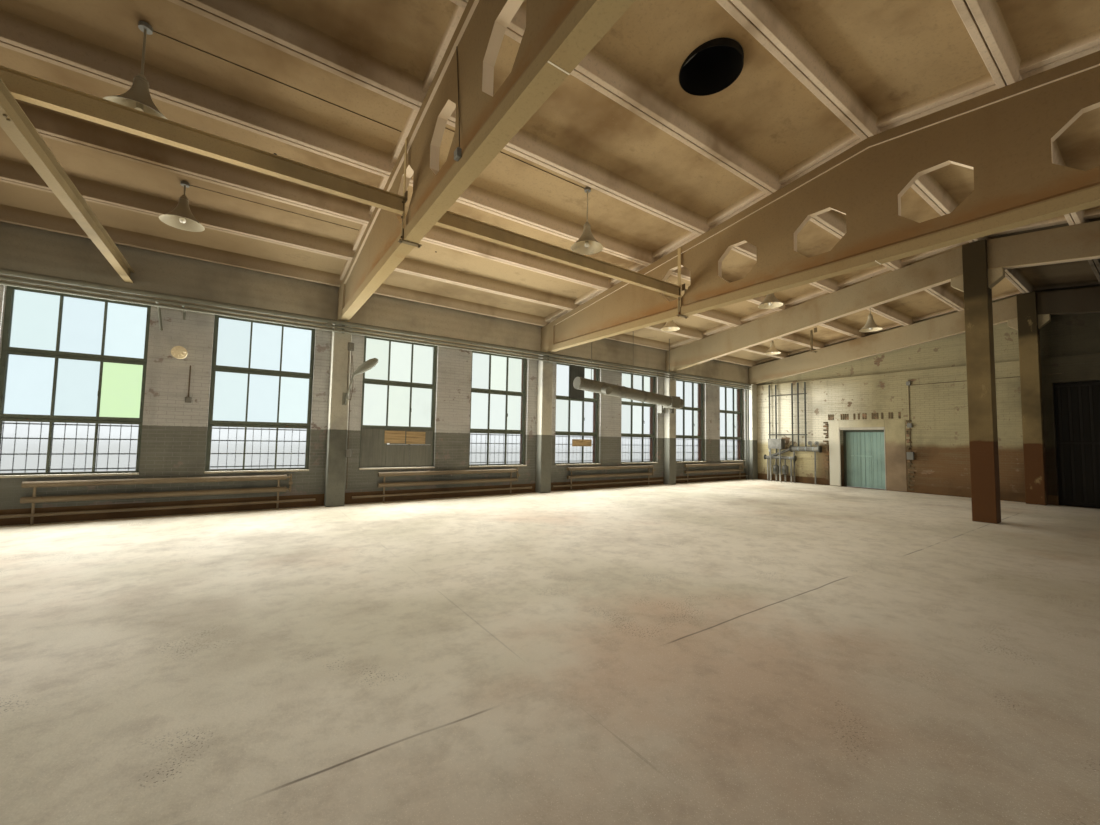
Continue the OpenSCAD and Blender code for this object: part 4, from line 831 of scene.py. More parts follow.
class HALL_OT_walls(Operator):
    """Finishes the walls and lays the bricks of their outer faces"""
    bl_idname = "hall.walls"
    bl_label = "Walls"

    def execute(self, context):
        c, s = context.scene.hall_colours, context.scene.hall_sizes
        side = wall_finish("window_wall_paint", c, s, c.pier, c.pier_dado)
        for node in ("sill_walls", "window_piers"):
            cover(node, side)
        cover("lintel_bands", band_finish(c))
        end = wall_finish("end_wall_paint", c, s, c.end_wall, c.end_dado, 0.12, (OLD_HIGH, OLD_HIGH + 0.8))
        for node in NODES:
            if node.startswith("end_"):
                cover(node, end)
        cover("plinth", plinth_finish(c))
        self.outer_bricks(context, c, s)
        self.outer_lintels(c)
        self.inner_marks(c, s)
        return {"FINISHED"}

    def outer_bricks(self, context, c, s):
        """Bricks of the long walls round their windows and of the end walls up to the roof."""
        clay = brick_finish(c)
        windows = [(x - WINDOW_HALF, x + WINDOW_HALF, SILL_Z, HEAD_Z) for x in WINDOW_X]
        for name, angle in (("front", 0.0), ("rear", math.pi)):
            turn = Matrix.Rotation(angle, 4, "Z") @ Matrix.Translation((0, WALL_OUT_Y, 0))
            lay_bricks(context, f"bricks_{name}", (-END_OUT_X, PLINTH_TOP), (END_OUT_X, HEAD_Z), windows,
                       lambda u: np.full_like(u, HEAD_Z), turn, s, clay, s.seed + len(name))
        ledge = DOOR_HEAD + LINTEL
        gate = GATE_HEAD + LINTEL
        openings = [(-DOOR_HIGH, -DOOR_LOW, 0, DOOR_HEAD), (-GATE_HIGH, -GATE_LOW, 0, GATE_HEAD),
                    (-DOOR_HIGH - BEARING, -DOOR_LOW + BEARING, DOOR_HEAD, ledge),
                    (-GATE_HIGH - BEARING, -GATE_LOW + BEARING, GATE_HEAD, gate)]
        corners = [(CORNICE_Y - 0.02, WALL_OUT_Y + 1, CORNICE_Z - 0.03, 99),
                   (-WALL_OUT_Y - 1, -CORNICE_Y + 0.02, CORNICE_Z - 0.03, 99)]

        def under_roof(u):
            return SLAB_HIGH.z - ROOF_SLOPE * np.abs(u) - 0.03

        for name, angle, holes in (("far", -math.pi / 2, openings + corners), ("near", math.pi / 2, corners)):
            turn = Matrix.Rotation(angle, 4, "Z") @ Matrix.Translation((0, END_OUT_X, 0))
            lay_bricks(context, f"bricks_{name}", (-WALL_OUT_Y, PLINTH_TOP), (WALL_OUT_Y, SLAB_HIGH.z), holes,
                       under_roof, turn, s, clay, s.seed + 11 + len(name))

    def outer_lintels(self, c):
        """Concrete lintels over the door and the gateway."""
        bm = bmesh.new()
        for low, high, head in ((DOOR_LOW, DOOR_HIGH, DOOR_HEAD), (GATE_LOW, GATE_HIGH, GATE_HEAD)):
            add_box(bm, (END_OUT_X - 0.01, low - BEARING + 0.004, head + 0.001),
                    (END_OUT_X + 0.01, high + BEARING - 0.004, head + LINTEL - 0.004), 0.004)
        keep(bm, "outer_lintels", eaves_concrete("lintel_concrete", c))

    def inner_marks(self, c, s):
        """Toothed edges of a bricked-up wider opening, with plaster between them and the door."""
        draw = random.Random(s.seed + 3)
        bm = bmesh.new()
        tone = bm.verts.layers.float.new("tone")
        courses = int((OLD_HEAD - FLOOR_TOP) / s.course)
        for edge, way in ((OLD_LOW, -1), (OLD_HIGH, 1)):
            for i in range(1, courses):
                z = FLOOR_TOP + i * s.course
                reach = 0.05 + 0.1 * (i % 2) + draw.uniform(-0.03, 0.05)
                proud = draw.uniform(0.006, 0.05)
                if draw.random() < 0.2:
                    continue
                y0, y1 = sorted((edge, edge + way * reach))
                made = add_box(bm, (END_X - proud, y0, z + s.joint),
                               (END_X + 0.01, y1, z + s.course - s.joint), 0.004)
                for v in made:
                    if v.is_valid:
                        v[tone] = draw.random()
        count = int((OLD_HIGH - OLD_LOW) / s.course)
        for i in range(count):
            y = OLD_LOW + i * s.course
            proud = draw.uniform(0.001, 0.012)
            if draw.random() < 0.5:
                continue
            add_box(bm, (END_X - proud, y + s.joint, OLD_HEAD),
                    (END_X + 0.01, y + s.course - s.joint, OLD_HEAD + s.brick_length * 0.92), 0.004)
        keep(bm, "toothed_bricks", brick_finish(c, 0.3))
        bm = bmesh.new()
        for low, high in ((OLD_LOW + 0.03, DOOR_LOW - 0.02), (DOOR_HIGH + 0.02, OLD_HIGH - 0.03)):
            add_box(bm, (END_X - 0.012, low, FLOOR_TOP + 0.02), (END_X + 0.01, high, OLD_HEAD - 0.03), 0.006)
        add_box(bm, (END_X - 0.009, DOOR_LOW - 0.02, DOOR_HEAD + 0.03),
                (END_X + 0.01, DOOR_HIGH + 0.02, OLD_HEAD - 0.03), 0.006)
        f = Finish("door_plaster", 0.9)
        below = wear(f, c.plaster, 0.6, (0.42, 0.7), 40.0)
        above_paint = tint(c.end_wall, 1.1)
        above = paler(f, c, wear(f, above_paint, tint(c.end_wall, 0.5), (0.42, 0.7), 40.0))
        ragged = f.plus(f.z, f.times(f.noise(4.0, 4.0), 0.3))
        pale = f.mix(below, tint(c.end_wall_pale, 0.7), f.share(f.y, DOOR_Y, DOOR_HIGH))
        base = f.mix(pale, above, f.share(ragged, DADO_TOP - 0.1, DADO_TOP + 0.3))
        f.raise_by(f.noise(6.0, 4.0, 0.65), 0.012)
        keep(bm, "door_plaster", f.done(base))
        bm = bmesh.new()
        for y0, y1 in ((DOOR_LOW - 0.03, DOOR_LOW + 0.002), (DOOR_HIGH - 0.002, DOOR_HIGH + 0.045)):
            add_box(bm, (END_X - 0.02, y0, FLOOR_TOP + 0.01), (END_X + 0.03, y1, DOOR_HEAD + 0.05), 0.008)
        add_box(bm, (END_X - 0.02, DOOR_LOW - 0.03, DOOR_HEAD),
                (END_X + 0.03, DOOR_HIGH + 0.045, DOOR_HEAD + 0.1), 0.008)
        reveal = rough_finish("reveal_plaster", tint(c.sill, 0.8), tint(c.sill, 0.5), (8.0, 4.0, 0.65), 0.008,
                              stains=(0.42, 0.7), grain=40.0)
        keep(bm, "reveal_plaster", reveal)


def band_finish(c):
    """The band over the windows: grey-brown plaster inside, formed concrete outside."""
    f = Finish("lintel_band", 0.9)
    inside = wear(f, c.band, 0.6, (0.42, 0.72), 30.0)
    # painted shade: the inside of the band darkens towards the end of the hall at negative x
    inside = f.mix(inside, tint(c.band, 0.25), f.share(f.x, -3.0, -7.0), 0.6)
    outside = wear(f, c.cornice, 0.55, (0.42, 0.72), 30.0)
    out = f.past(f.size(f.y), OUTER_Y)
    boards = f.node("ShaderNodeTexWave", {"wave_type": "BANDS", "bands_direction": "Z"}, Vector=f.place,
                    Scale=1.6, Distortion=0.6)
    f.raise_by(boards.outputs["Fac"], 0.003)
    f.raise_by(f.noise(14.0, 3.0, 0.6), 0.004)
    return f.done(f.mix(inside, outside, out))


def plinth_finish(c):
    """Rough render outside; inside the foot of the wall keeps its brown paint."""
    f = Finish("plinth_render", 0.95)
    outside = wear(f, c.render, 0.5)
    inside = wear(f, tint(c.end_dado, 0.75), tint(c.end_dado, 0.35))
    f.raise_by(f.noise(30.0, 3.0, 0.7), 0.006)
    within_x = f.number("LESS_THAN", f.size(f.x), OUTER_X)
    within_y = f.number("LESS_THAN", f.size(f.y), OUTER_Y)
    return f.done(f.mix(outside, inside, f.times(within_x, within_y)))


def brick_finish(c, paint=0.0):
    """Fired clay, each brick with its own tone, with traces of lime or paint."""
    f = Finish("brick_clay" if not paint else "broken_brick", 0.9)
    own = f.node("ShaderNodeAttribute", {"attribute_name": "tone", "attribute_type": "GEOMETRY"})
    own = own.outputs["Fac"]
    base = f.mix(c.brick, c.brick_dark, f.share(own, 0.25, 1.0))
    base = f.mix(base, tint(c.brick, 1.35), f.share(own, 0.16, 0.0))
    rough = f.noise(38.0, 3.0, 0.7)
    base = f.mix(base, tint(c.brick_dark, 0.6), f.share(rough, 0.45, 0.75), 0.55)
    darkening = f.cloud(0.44, 0.74, 0.45, 4.0, 0.65, (1.0, 1.0, 0.45))
    base = f.mix(base, tint(c.brick_dark, 0.5), darkening, 0.6)
    lime = f.cloud(0.58, 0.72, 0.9, 5.0, 0.7, (1.0, 1.0, 0.6), 8.0)
    base = f.mix(base, c.mortar, lime, 0.35)
    low = f.share(f.z, 1.4, PLINTH_TOP)
    base = f.mix(base, tint(c.brick_dark, 0.55), f.times(low, f.cloud(0.35, 0.7, 1.8, 5.0)))
    if paint:
        base = f.mix(base, c.end_wall, f.times(f.cloud(0.3, 0.5, 9.0, 5.0, 0.7), paint))
        base = f.mix(base, tint(c.end_dado, 0.5), f.cloud(0.38, 0.52, 5.0, 5.0, 0.7, shift=3.0))
        base = f.mix(base, tint(c.end_wall, 0.35), 0.5)
    f.raise_by(rough, 0.0025)
    return f.done(base)


def column_finish(c):
    f = Finish("column_whitewash", 0.88)
    base = wear(f, c.column, 0.4, (0.4, 0.7), 30.0)
    ragged = f.plus(f.z, f.times(f.noise(5.0, 4.0), 0.08))
    base = f.mix(c.column_foot, base, f.share(ragged, DADO_TOP, DADO_TOP + 0.05))
    base = f.mix(base, tint(c.column, 0.22), f.share(ragged, 5.1, 5.35))
    base = f.mix(base, wear(f, c.inclined, 0.5), f.share(f.size(f.y), 0.2, 0.206))
    scraped = f.cloud(0.6, 0.66, 2.0, 7.0, 0.7, (1.0, 1.0, 0.5), 6.0)
    base = f.mix(base, tint(c.beam, 0.8), scraped, 0.5)
    f.raise_by(f.noise(12.0, 3.0, 0.6), 0.006)
    return f.done(base)


def wall_column_finish(c):
    f = Finish("wall_column_paint", 0.88)
    above = wear(f, c.wall_column, tint(c.pier, 0.5), (0.46, 0.72), 30.0)
    below = wear(f, c.pier_dado, 0.5, (0.46, 0.72), 30.0)
    ragged = f.plus(f.z, f.times(f.noise(5.0, 4.0), 0.02))
    f.raise_by(f.noise(12.0, 3.0, 0.6), 0.006)
    return f.done(f.mix(below, above, f.share(ragged, DADO_TOP - 0.006, DADO_TOP + 0.006)))


def window_places():
    """Turn and shift that bring a window drawn round the origin to each of its places."""
    front = [Matrix.Translation((x, 0, 0)) for x in WINDOW_X]
    return front + [Matrix.Rotation(math.pi, 4, "Z") @ m for m in front]


def pane_grid():
    """Low and high edges of a window's columns and rows of panes."""
    third = (2 * WINDOW_HALF - 2 * FRAME_BAR) / 3
    inner = -WINDOW_HALF + FRAME_BAR
    columns = [(inner + i * third + (GLAZING_BAR / 2 if i else 0),
                inner + (i + 1) * third - (GLAZING_BAR / 2 if i < 2 else 0)) for i in range(3)]
    bars = [z + side * CROSSBAR / 2 for z in CROSSBAR_Z for side in (-1, 1)]
    edges = [SILL_Z + FRAME_BAR, *bars, HEAD_Z - FRAME_BAR]
    return columns, list(zip(edges[::2], edges[1::2]))


class HALL_OT_windows(Operator):
    """Makes panes, glazing beads, fittings and rod grilles of the windows"""
    bl_idname = "hall.windows"
    bl_label = "Windows"

    def execute(self, context):
        c, s = context.scene.hall_colours, context.scene.hall_sizes
        paint = paint_finish("frame_paint", c.frame_paint, c, 0.6, 0.3)
        cover("window_frames", paint)
        softened("window_sills", paint_finish("sill_paint", c.sill, c, 0.6, 0.3), 0.004)
        self.panes(s)
        self.beads(paint)
        self.fittings(c)
        self.grilles(c, s)
        self.boards(c)
        return {"FINISHED"}

    def panes(self, s):
        draw = random.Random(s.seed)
        columns, rows = pane_grid()
        pocket = 0.006
        for side, name in ((1, "front"), (-1, "rear")):
            bm = bmesh.new()
            shade = bm.loops.layers.float_color.new("pane_shade")
            for n, x in enumerate(WINDOW_X):
                cast = draw.uniform(0.0, 1.0) if n < 4 else draw.uniform(0.6, 1.0)
                for i, (a, b) in enumerate(columns):
                    for j, (low, high) in enumerate(rows):
                        start = len(bm.faces)
                        tilt = draw.uniform(-0.0012, 0.0012)
                        add_box(bm, (x + a - pocket, side * GLASS_Y - s.pane / 2 + tilt, low - pocket),
                                (x + b + pocket, side * GLASS_Y + s.pane / 2 + tilt, high + pocket))
                        light = draw.uniform(0.9, 1.0)
                        green = draw.choice((0.0, 0.15, 0.3)) * cast
                        # painted light: the green of foliage seen through one clear pane
                        green += FOLIAGE_GREEN if (n, i, j, side) == FOLIAGE_PANE else 0.0
                        red, middle, blue = PANE_TINTS.get(n * side, USUAL_TINT)
                        hue = (red - 0.06 * green, middle, blue - 0.3 * green)
                        if j == 0:
                            light, hue = 1.0, LOW_TINT
                        bm.faces.ensure_lookup_table()
                        for face in bm.faces[start:]:
                            for corner in face.loops:
                                corner[shade] = (*(light * h for h in hue), 1.0)
            piece = keep(bm, f"window_panes_{name}", pane_finish())
            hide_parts("window_glass")

    def beads(self, paint):
        """Thin beads that hold the panes, inside and outside."""
        columns, rows = pane_grid()
        bm = bmesh.new()
        width = 0.007
        for y0, y1 in ((GLASS_Y - 0.018, GLASS_Y - 0.004), (GLASS_Y + 0.004, GLASS_Y + 0.02)):
            for a, b in columns:
                for low, high in rows:
                    for x in (a - 0.004, b + 0.004 - width):
                        add_box(bm, (x, y0, low - 0.004), (x + width, y1, high + 0.004))
                    for z in (low - 0.004, high + 0.004 - width):
                        add_box(bm, (a, y0, z), (b, y1, z + width))
        keep(repeat(bm, window_places()), "glazing_beads", paint)

    def fittings(self, c):
        """Drip boards, hinges, and a handle on the opening light of the middle row."""
        bm = bmesh.new()
        face, out, half = FRAME_IN_Y, FRAME_OUT_Y, WINDOW_HALF - 0.02
        for z in CROSSBAR_Z:
            add_box(bm, (-half, face - 0.016, z - 0.028), (half, face + 0.004, z - 0.012), 0.003)
            add_box(bm, (-half, out - 0.004, z - 0.05), (half, out + 0.03, z - 0.034), 0.003)
        x, z = pane_grid()[0][1][1] + 0.014, HANDLE_Z
        add_box(bm, (x - 0.012, face - 0.008, z - 0.06), (x + 0.012, face + 0.002, z + 0.06), 0.002)
        add_bar(bm, (x, face, z), (x, face - 0.045, z), 0.007, 8)
        add_box(bm, (x - 0.008, face - 0.052, z - 0.09), (x + 0.008, face - 0.04, z + 0.012), 0.003)
        for z in (SILL_Z + 0.3, 1.7, 2.3, 2.9, 3.5, 4.1):
            for x in (-WINDOW_HALF + 0.06, WINDOW_HALF - 0.06):
                add_bar(bm, (x, face - 0.006, z), (x, face - 0.006, z + 0.09), 0.008, 8)
        keep(repeat(bm, window_places()), "window_fittings",
             paint_finish("fitting_paint", tint(c.frame_paint, 0.8), c, 0.5, 0.7))

    def grilles(self, c, s):
        """Rods and flats outside the lowest lights."""
        low, high = pane_grid()[1][0]
        low, high = low - 0.01, high + 0.02
        y = (FRAME_OUT_Y + WALL_OUT_Y) / 2
        bm = bmesh.new()
        half = WINDOW_HALF - 0.02
        count = round(2 * half / s.grille_pitch)
        for i in range(count + 1):
            at = -half + 0.03 + i * (2 * half - 0.06) / count
            add_bar(bm, (at, y, low), (at, y, high), s.grille_rod / 2, 6)
        for share in (0.06, 0.36, 0.66, 0.94):
            z = low + share * (high - low)
            add_box(bm, (-half - 0.04, y - 0.003, z - 0.011), (half + 0.04, y + 0.003, z + 0.011))
        keep(repeat(bm, window_places()), "window_grilles",
             paint_finish("grille_paint", tint(c.frame_paint, 0.6), c, 0.6, 0.9))

    def boards(self, c):
        """Boards and plywood in place of panes."""
        cover("window_boards", timber_finish("weathered_board", c.board, 2, 0.75))
        face = FRAME_IN_Y
        bm = bmesh.new()
        for x0, x1, back, low, high in PLYWOOD:
            add_box(bm, (x0, face - back, FLOOR_TOP + low),
                    (x1, face - back + 0.012, FLOOR_TOP + high), 0.003)
        for dx in (-0.32, 0.12, 0.25, 0.68):
            add_bolt(bm, (WINDOW_X[4] + dx, face - 0.028, FLOOR_TOP + 1.78), (0, -1, 0), 0.008)
        keep(bm, "plywood_sheets", timber_finish("plywood", c.plywood, 0))
        bm = bmesh.new()
        x = WINDOW_X[6]
        add_box(bm, (x - 0.34, face - 0.018, 3.2), (x + 0.3, face - 0.006, 4.36), 0.003)
        keep(bm, "dark_boards", timber_finish("dark_boards", tint(c.board, 0.3)))


class HALL_OT_doors(Operator):
    """Boards, bars and bolts of the double door, and ribs of the gateway's sheet"""
    bl_idname = "hall.doors"
    bl_label = "Doors"

    def execute(self, context):
        c = context.scene.hall_colours
        paint = paint_finish("door_paint", c.door, c, 0.6, 0.25)
        # painted highlight: the ironwork gets a lighter copy of the door paint
        highlit_iron = paint_finish("door_iron_highlight", tint(c.door, 1.2), c, 0.5, 0.7)
        for side, name in ((1, "left"), (-1, "right")):
            self.leaf(side, f"door_leaf_{name}", paint, highlit_iron)
        cover("door_frame", paint_finish("door_frame_paint", tint(c.frame_paint, 0.7), c, 0.6, 0.5))
        self.gateway(c)
        return {"FINISHED"}

    def leaf(self, side, body, paint, highlit_iron):
        """Upright boards on both faces, a cover strip, the bar with its keepers, a handle and bolts."""
        cover(body, paint)
        low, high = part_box(body)
        back = low.x
        face = back + LEAF
        inner = DOOR_Y + side * 0.004
        outer = DOOR_Y + side * ((DOOR_HIGH - DOOR_LOW) / 2 - 0.09)
        pitch = (outer - inner) / 5
        bm = bmesh.new()
        for i in range(5):
            y0, y1 = sorted((inner + i * pitch, inner + (i + 1) * pitch))
            for x0, x1 in ((back - 0.009, back + 0.004), (face - 0.004, face + 0.005)):
                add_box(bm, (x0, y0 + 0.0015, low.z + 0.006), (x1, y1 - 0.0015, high.z - 0.02), 0.003)
        y0, y1 = sorted((inner + side * 0.16, inner + side * 0.2))
        add_box(bm, (back - 0.02, y0, low.z + 0.01), (back - 0.007, y1, high.z - 0.03), 0.003)
        keep(bm, body + "_boards", paint, body)
        bm = bmesh.new()
        level = FLOOR_TOP + 1.25
        y0, y1 = sorted((inner, DOOR_Y + side * (0.5 if side > 0 else 0.26)))
        add_box(bm, (back - 0.03, y0, level - 0.02), (back - 0.02, y1, level + 0.02), 0.002)
        for share in (0.25, 0.8):
            y = y0 + share * (y1 - y0)
            add_box(bm, (back - 0.022, y - 0.012, level - 0.04),
                    (back - 0.005, y + 0.012, level + 0.04), 0.002)
            add_bolt(bm, (back - 0.03, y, level), (-1, 0, 0), 0.014)
        if side > 0:
            handle = ((0.002, -0.09), (0.036, -0.09), (0.036, 0.09), (0.002, 0.09))
            add_run(bm, [(face + out, DOOR_Y + 0.07, level + rise) for out, rise in handle], 0.007)
        for z in HINGE_Z:
            for reach in (0.12, 0.28, 0.44):
                y = DOOR_Y + side * (0.688 - reach)
                add_bolt(bm, (face + 0.008, y, z + 0.03), (1, 0, 0), 0.016)
        keep(bm, body + "_iron", highlit_iron, body)

    def gateway(self, c):
        # painted shade: the sheet and its ribs are near-black
        cover("gateway_closing", paint_finish("gateway_sheet", c.gateway, c, 0.7, 0.2))
        low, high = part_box("gateway_closing")
        bm = bmesh.new()
        ribs = 20
        for i in range(ribs):
            y = low.y + (i + 0.5) * (high.y - low.y) / ribs
            for x0, x1 in ((low.x - 0.014, low.x + 0.002), (high.x - 0.002, high.x + 0.014)):
                add_box(bm, (x0, y - 0.04, low.z + 0.02), (x1, y + 0.04, high.z - 0.02), 0.01)
        for z in (low.z + 0.05, (low.z + high.z) / 2, high.z - 0.12):
            for x0, x1 in ((low.x - 0.03, low.x), (high.x, high.x + 0.03)):
                add_box(bm, (x0, low.y + 0.01, z), (x1, high.y - 0.01, z + 0.07), 0.004)
        paint = paint_finish("gateway_rib_paint", tint(c.gateway, 1.3), c, 0.6, 0.3)
        keep(bm, "gateway_ribs", paint)


class HALL_OT_steelwork(Operator):
    """Finishes the steel beams and adds collars, plates and bolts"""
    bl_idname = "hall.steelwork"
    bl_label = "Steelwork"

    def execute(self, context):
        c = context.scene.hall_colours
        cover("long_steel_beams", paint_finish("steel_paint", c.steel, c, 0.6, 0.2))
        # painted shade: the cross beam gets a darker copy of the same steel paint
        cover("cross_steel_beam", paint_finish("cross_beam_shaded_paint", tint(c.steel, 0.45), c, 0.6, 0.2))
        bm = bmesh.new()
        foot = BEAM_LOW.z
        for x in BEAM_X:
            for side in (1, -1):
                y = side * HANGER_Y
                add_box(bm, (x - 0.16, y - 0.045, foot - 0.014), (x + 0.16, y + 0.045, foot - 0.001), 0.002)
                for way in ((-1,) if x == BEAM_X[2] else (-1, 1)):
                    at = x + way * 0.1
                    add_box(bm, (at, y - 0.03, foot - 0.014),
                            (at + way * 0.014, y + 0.03, foot + 0.62), 0.002)
                    for rise in (0.05, 0.34, 0.56):
                        add_bolt(bm, (at + way * 0.014, y, foot + rise), (way, 0, 0), 0.032)
                    add_box(bm, (at, y - 0.16, foot + 0.52), (at + way * 0.02, y - 0.07, foot + 0.66), 0.003)
                for dx in (-0.13, 0.13):
                    add_bolt(bm, (x + dx, y, foot - 0.014), (0, 0, -1), 0.036)
        low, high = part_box("cross_steel_beam")
        for side in (1, -1):
            y = side * HANGER_Y
            for dx in (-0.045, 0.045):
                for dy in (-0.035, 0.035):
                    add_bolt(bm, ((low.x + high.x) / 2 + dx, y + dy, low.z), (0, 0, -1), 0.026)
        paint = paint_finish("collar_paint", tint(c.steel, 0.35), c, 0.6, 0.8)
        keep(bm, "beam_collars", paint)
        return {"FINISHED"}


class HALL_OT_services(Operator):
    """Fittings, flanges, conduits and boxes of the services"""
    bl_idname = "hall.services"
    bl_label = "Services"

    def execute(self, context):
        c = context.scene.hall_colours
        pipe = paint_finish("pipe_paint", c.pipe, c, 0.55, 0.5)
        cover("heating_pipes", pipe)
        dark_pipe = paint_finish("corner_pipe_paint", tint(c.pipe, 0.35), c, 0.55, 0.6)
        cover("corner_pipes", dark_pipe)
        radiator = paint_finish("radiator_paint", c.radiator, c, 0.55, 0.5)
        cover("radiators", radiator)
        cover("heating_manifold", rough_finish("pipe_lagging", tint(c.lagging, 0.7), tint(c.lagging, 0.2),
                                               (18.0, 5.0, 0.6), 0.006, stains=(0.4, 0.6)))
        zinc = sheet_finish("duct_sheet", c.duct, 0.6, 0.2)
        cover("air_duct", zinc)
        self.pipe_fittings(pipe)
        self.radiator_valves(radiator)
        self.duct_seams(zinc)
        self.manifold_fittings(c, dark_pipe)
        self.conduits(c)
        self.boxes(c)
        return {"FINISHED"}

    def pipe_fittings(self, paint):
        """Couplings along the heating pipes, two valves beside a wall column and two short drops."""
        bm = bmesh.new()
        for side in (1, -1):
            for z, r in zip(PIPE_Z, PIPE_R):
                for i in range(10):
                    x = -13.4 + i * 3.0 + (0.4 if r < 0.05 else 0.0)
                    add_bar(bm, (x - 0.035, side * PIPE_Y, z), (x + 0.035, side * PIPE_Y, z), r + 0.009, 12)
        x = -3.34
        for z in PIPE_Z[1:]:
            add_bar(bm, (x - 0.06, PIPE_Y, z), (x + 0.06, PIPE_Y, z), 0.042, 8)
            add_bar(bm, (x, PIPE_Y, z), (x, PIPE_Y - 0.13, z), 0.014, 8)
            add_bar(bm, (x, PIPE_Y - 0.13, z), (x, PIPE_Y - 0.142, z), 0.05, 14)
            x += 0.16
        for top, foot in (((-6.38, 9.1, 4.31), (-6.32, 9.1, 3.86)), ((-5.98, 9.1, 4.3), (-5.98, 9.1, 4.14))):
            add_run(bm, [(top[0], PIPE_Y, PIPE_Z[1]), top, foot], 0.021)
        keep(bm, "pipe_fittings", paint)

    def radiator_valves(self, paint):
        """A valve with a hand wheel and a rising tail at one end of each radiator."""
        bm = bmesh.new()
        x, y = 2.08, WALL_Y - 0.11
        add_bar(bm, (x, y, 0.5), (x, y, 0.9), 0.022, 10)
        add_bar(bm, (x, y, 0.66), (x, y, 0.74), 0.034, 8)
        add_bar(bm, (x, y, 0.7), (x, y - 0.1, 0.7), 0.01, 8)
        add_bar(bm, (x, y - 0.1, 0.7), (x, y - 0.11, 0.7), 0.036, 12)
        for z in (0.56, 0.83):
            add_bar(bm, (x - 0.14, y, z), (x, y, z), 0.022, 10)
            add_bar(bm, (x - 0.115, y, z), (x - 0.085, y, z), 0.062, 14)
        places = [Matrix.Translation((i * BAY, 0, 0)) for i in range(-2, 3)]
        places += [Matrix.Rotation(math.pi, 4, "Z") @ m for m in places]
        keep(repeat(bm, places), "radiator_valves", paint)

    def duct_seams(self, zinc):
        """Flanges and seams round the duct, and the box at its lower end."""
        start, end = Vector(DUCT_FROM), Vector(DUCT_TO)
        run = end - start
        along = run.normalized()
        bm = bmesh.new()
        for i in range(6):
            at = start + run * (0.02 + i * 0.192)
            for shift in (-0.016, 0.0):
                add_bar(bm, at + along * shift, at + along * (shift + 0.012), DUCT_R + 0.012, 32)
        for i in range(5):
            at = start + run * (0.11 + i * 0.192)
            add_bar(bm, at - along * 0.02, at + along * 0.02, DUCT_R + 0.004, 32)
        low = end - along * 0.5
        add_box(bm, low - Vector((0.2, 0.23, 0.23)), low + Vector((0.26, 0.23, 0.2)), 0.006)
        keep(bm, "duct_seams", zinc)

    def manifold_fittings(self, c, pipe):
        """Flanges with bolts, valve wheels, a gauge, straps round the lagging and pipe brackets."""
        bm = bmesh.new()
        for x, z, r, ends in LAGGED:
            for y in ends:
                for shift in (-0.02, 0.006):
                    add_bar(bm, (x, y + shift, z), (x, y + shift + 0.014, z), r + 0.045, 20)
                for k in range(8):
                    a = k * math.pi / 4 + 0.2
                    spot = (x + (r + 0.025) * math.cos(a), y + 0.02, z + (r + 0.025) * math.sin(a))
                    add_bolt(bm, spot, (0, 1, 0), 0.016)
        upper, lower = LAGGED_X
        for y in (7.42, 7.82):
            for z in (0.46, 0.84):
                add_bar(bm, (lower, y, z - 0.012), (lower, y, z + 0.012), 0.075, 16)
            add_box(bm, (lower - 0.17, y - 0.07, 0.56), (lower - 0.11, y + 0.07, 0.7), 0.01)
        for y in (6.15, 6.42):
            for k in range(4):
                dy, dz = WHEEL_R * math.cos(k * math.pi / 4), WHEEL_R * math.sin(k * math.pi / 4)
                add_bar(bm, (WHEEL_X, y + dy, WHEEL_Z + dz), (WHEEL_X, y - dy, WHEEL_Z - dz), 0.007, 6)
        for y in (8.2, 7.9, 7.18, 6.93, 6.63):
            for z in (2.7, 3.6):
                add_bar(bm, (upper, y, z - 0.015), (upper, y, z + 0.015), 0.043, 12)
                add_box(bm, (upper, y - 0.012, z - 0.012), (END_X + 0.01, y + 0.012, z + 0.012))
        keep(bm, "manifold_fittings", pipe)
        bm = bmesh.new()
        add_bar(bm, (lower, 8.1, 1.24), (lower, 8.1, 1.42), 0.01, 8)
        add_bar(bm, (lower - 0.02, 8.1, 1.47), (lower + 0.02, 8.1, 1.47), 0.055, 20)
        for x, z, r, wide, starts in ((upper, LAGGED_Z[0], 0.104, 0.03, (6.3, 6.6, 6.9)),
                                      (lower, LAGGED_Z[1], 0.0685, 0.025, (7.2, 7.6, 8.0))):
            for y in starts:
                add_bar(bm, (x, y, z), (x, y + wide, z), r, 20)
        keep(bm, "lagging_straps", sheet_finish("strap_sheet", c.zinc, 0.4, 0.6))

    def conduits(self, c):
        """Conduits along the ceiling to the lamps, on the beam, on a column and on the end wall."""
        bm = bmesh.new()
        for x, y in LAMP_PLACES:
            beam = min(BEAM_X + (-END_X, END_X), key=lambda b: abs(b - x) + (0 if b < x else 3))
            z = ceiling_z(y) - 0.006
            add_bar(bm, (beam + 0.16, y + 0.03, z), (x, y + 0.03, z), 0.006, 8)
        for radius, *points in CONDUITS:
            add_run(bm, points, radius)
        for side in (1, -1):
            y = side * (WALL_Y - 0.012)
            add_bar(bm, (-14.6, y, 4.62), (14.2, y, 4.62), 0.009, 6)
        keep(bm, "conduits", paint_finish("conduit_paint", c.conduit, c, 0.6, 0.5))

    def boxes(self, c):
        """Switches, junction boxes and meters."""
        bm = bmesh.new()
        for low, high in BOXES:
            add_box(bm, low, high, 0.008)
        add_bar(bm, (8.55, 8.93, 3.06), (8.55, 8.89, 3.06), 0.055, 18)
        for x, y in LAMP_PLACES:
            z = ceiling_z(y)
            add_bar(bm, (x, y, z - 0.05), (x, y, z), 0.06, 16)
        paint = paint_finish("box_paint", tint(c.lagging, 0.3), c, 0.5, 0.35)
        keep(bm, "junction_boxes", paint)


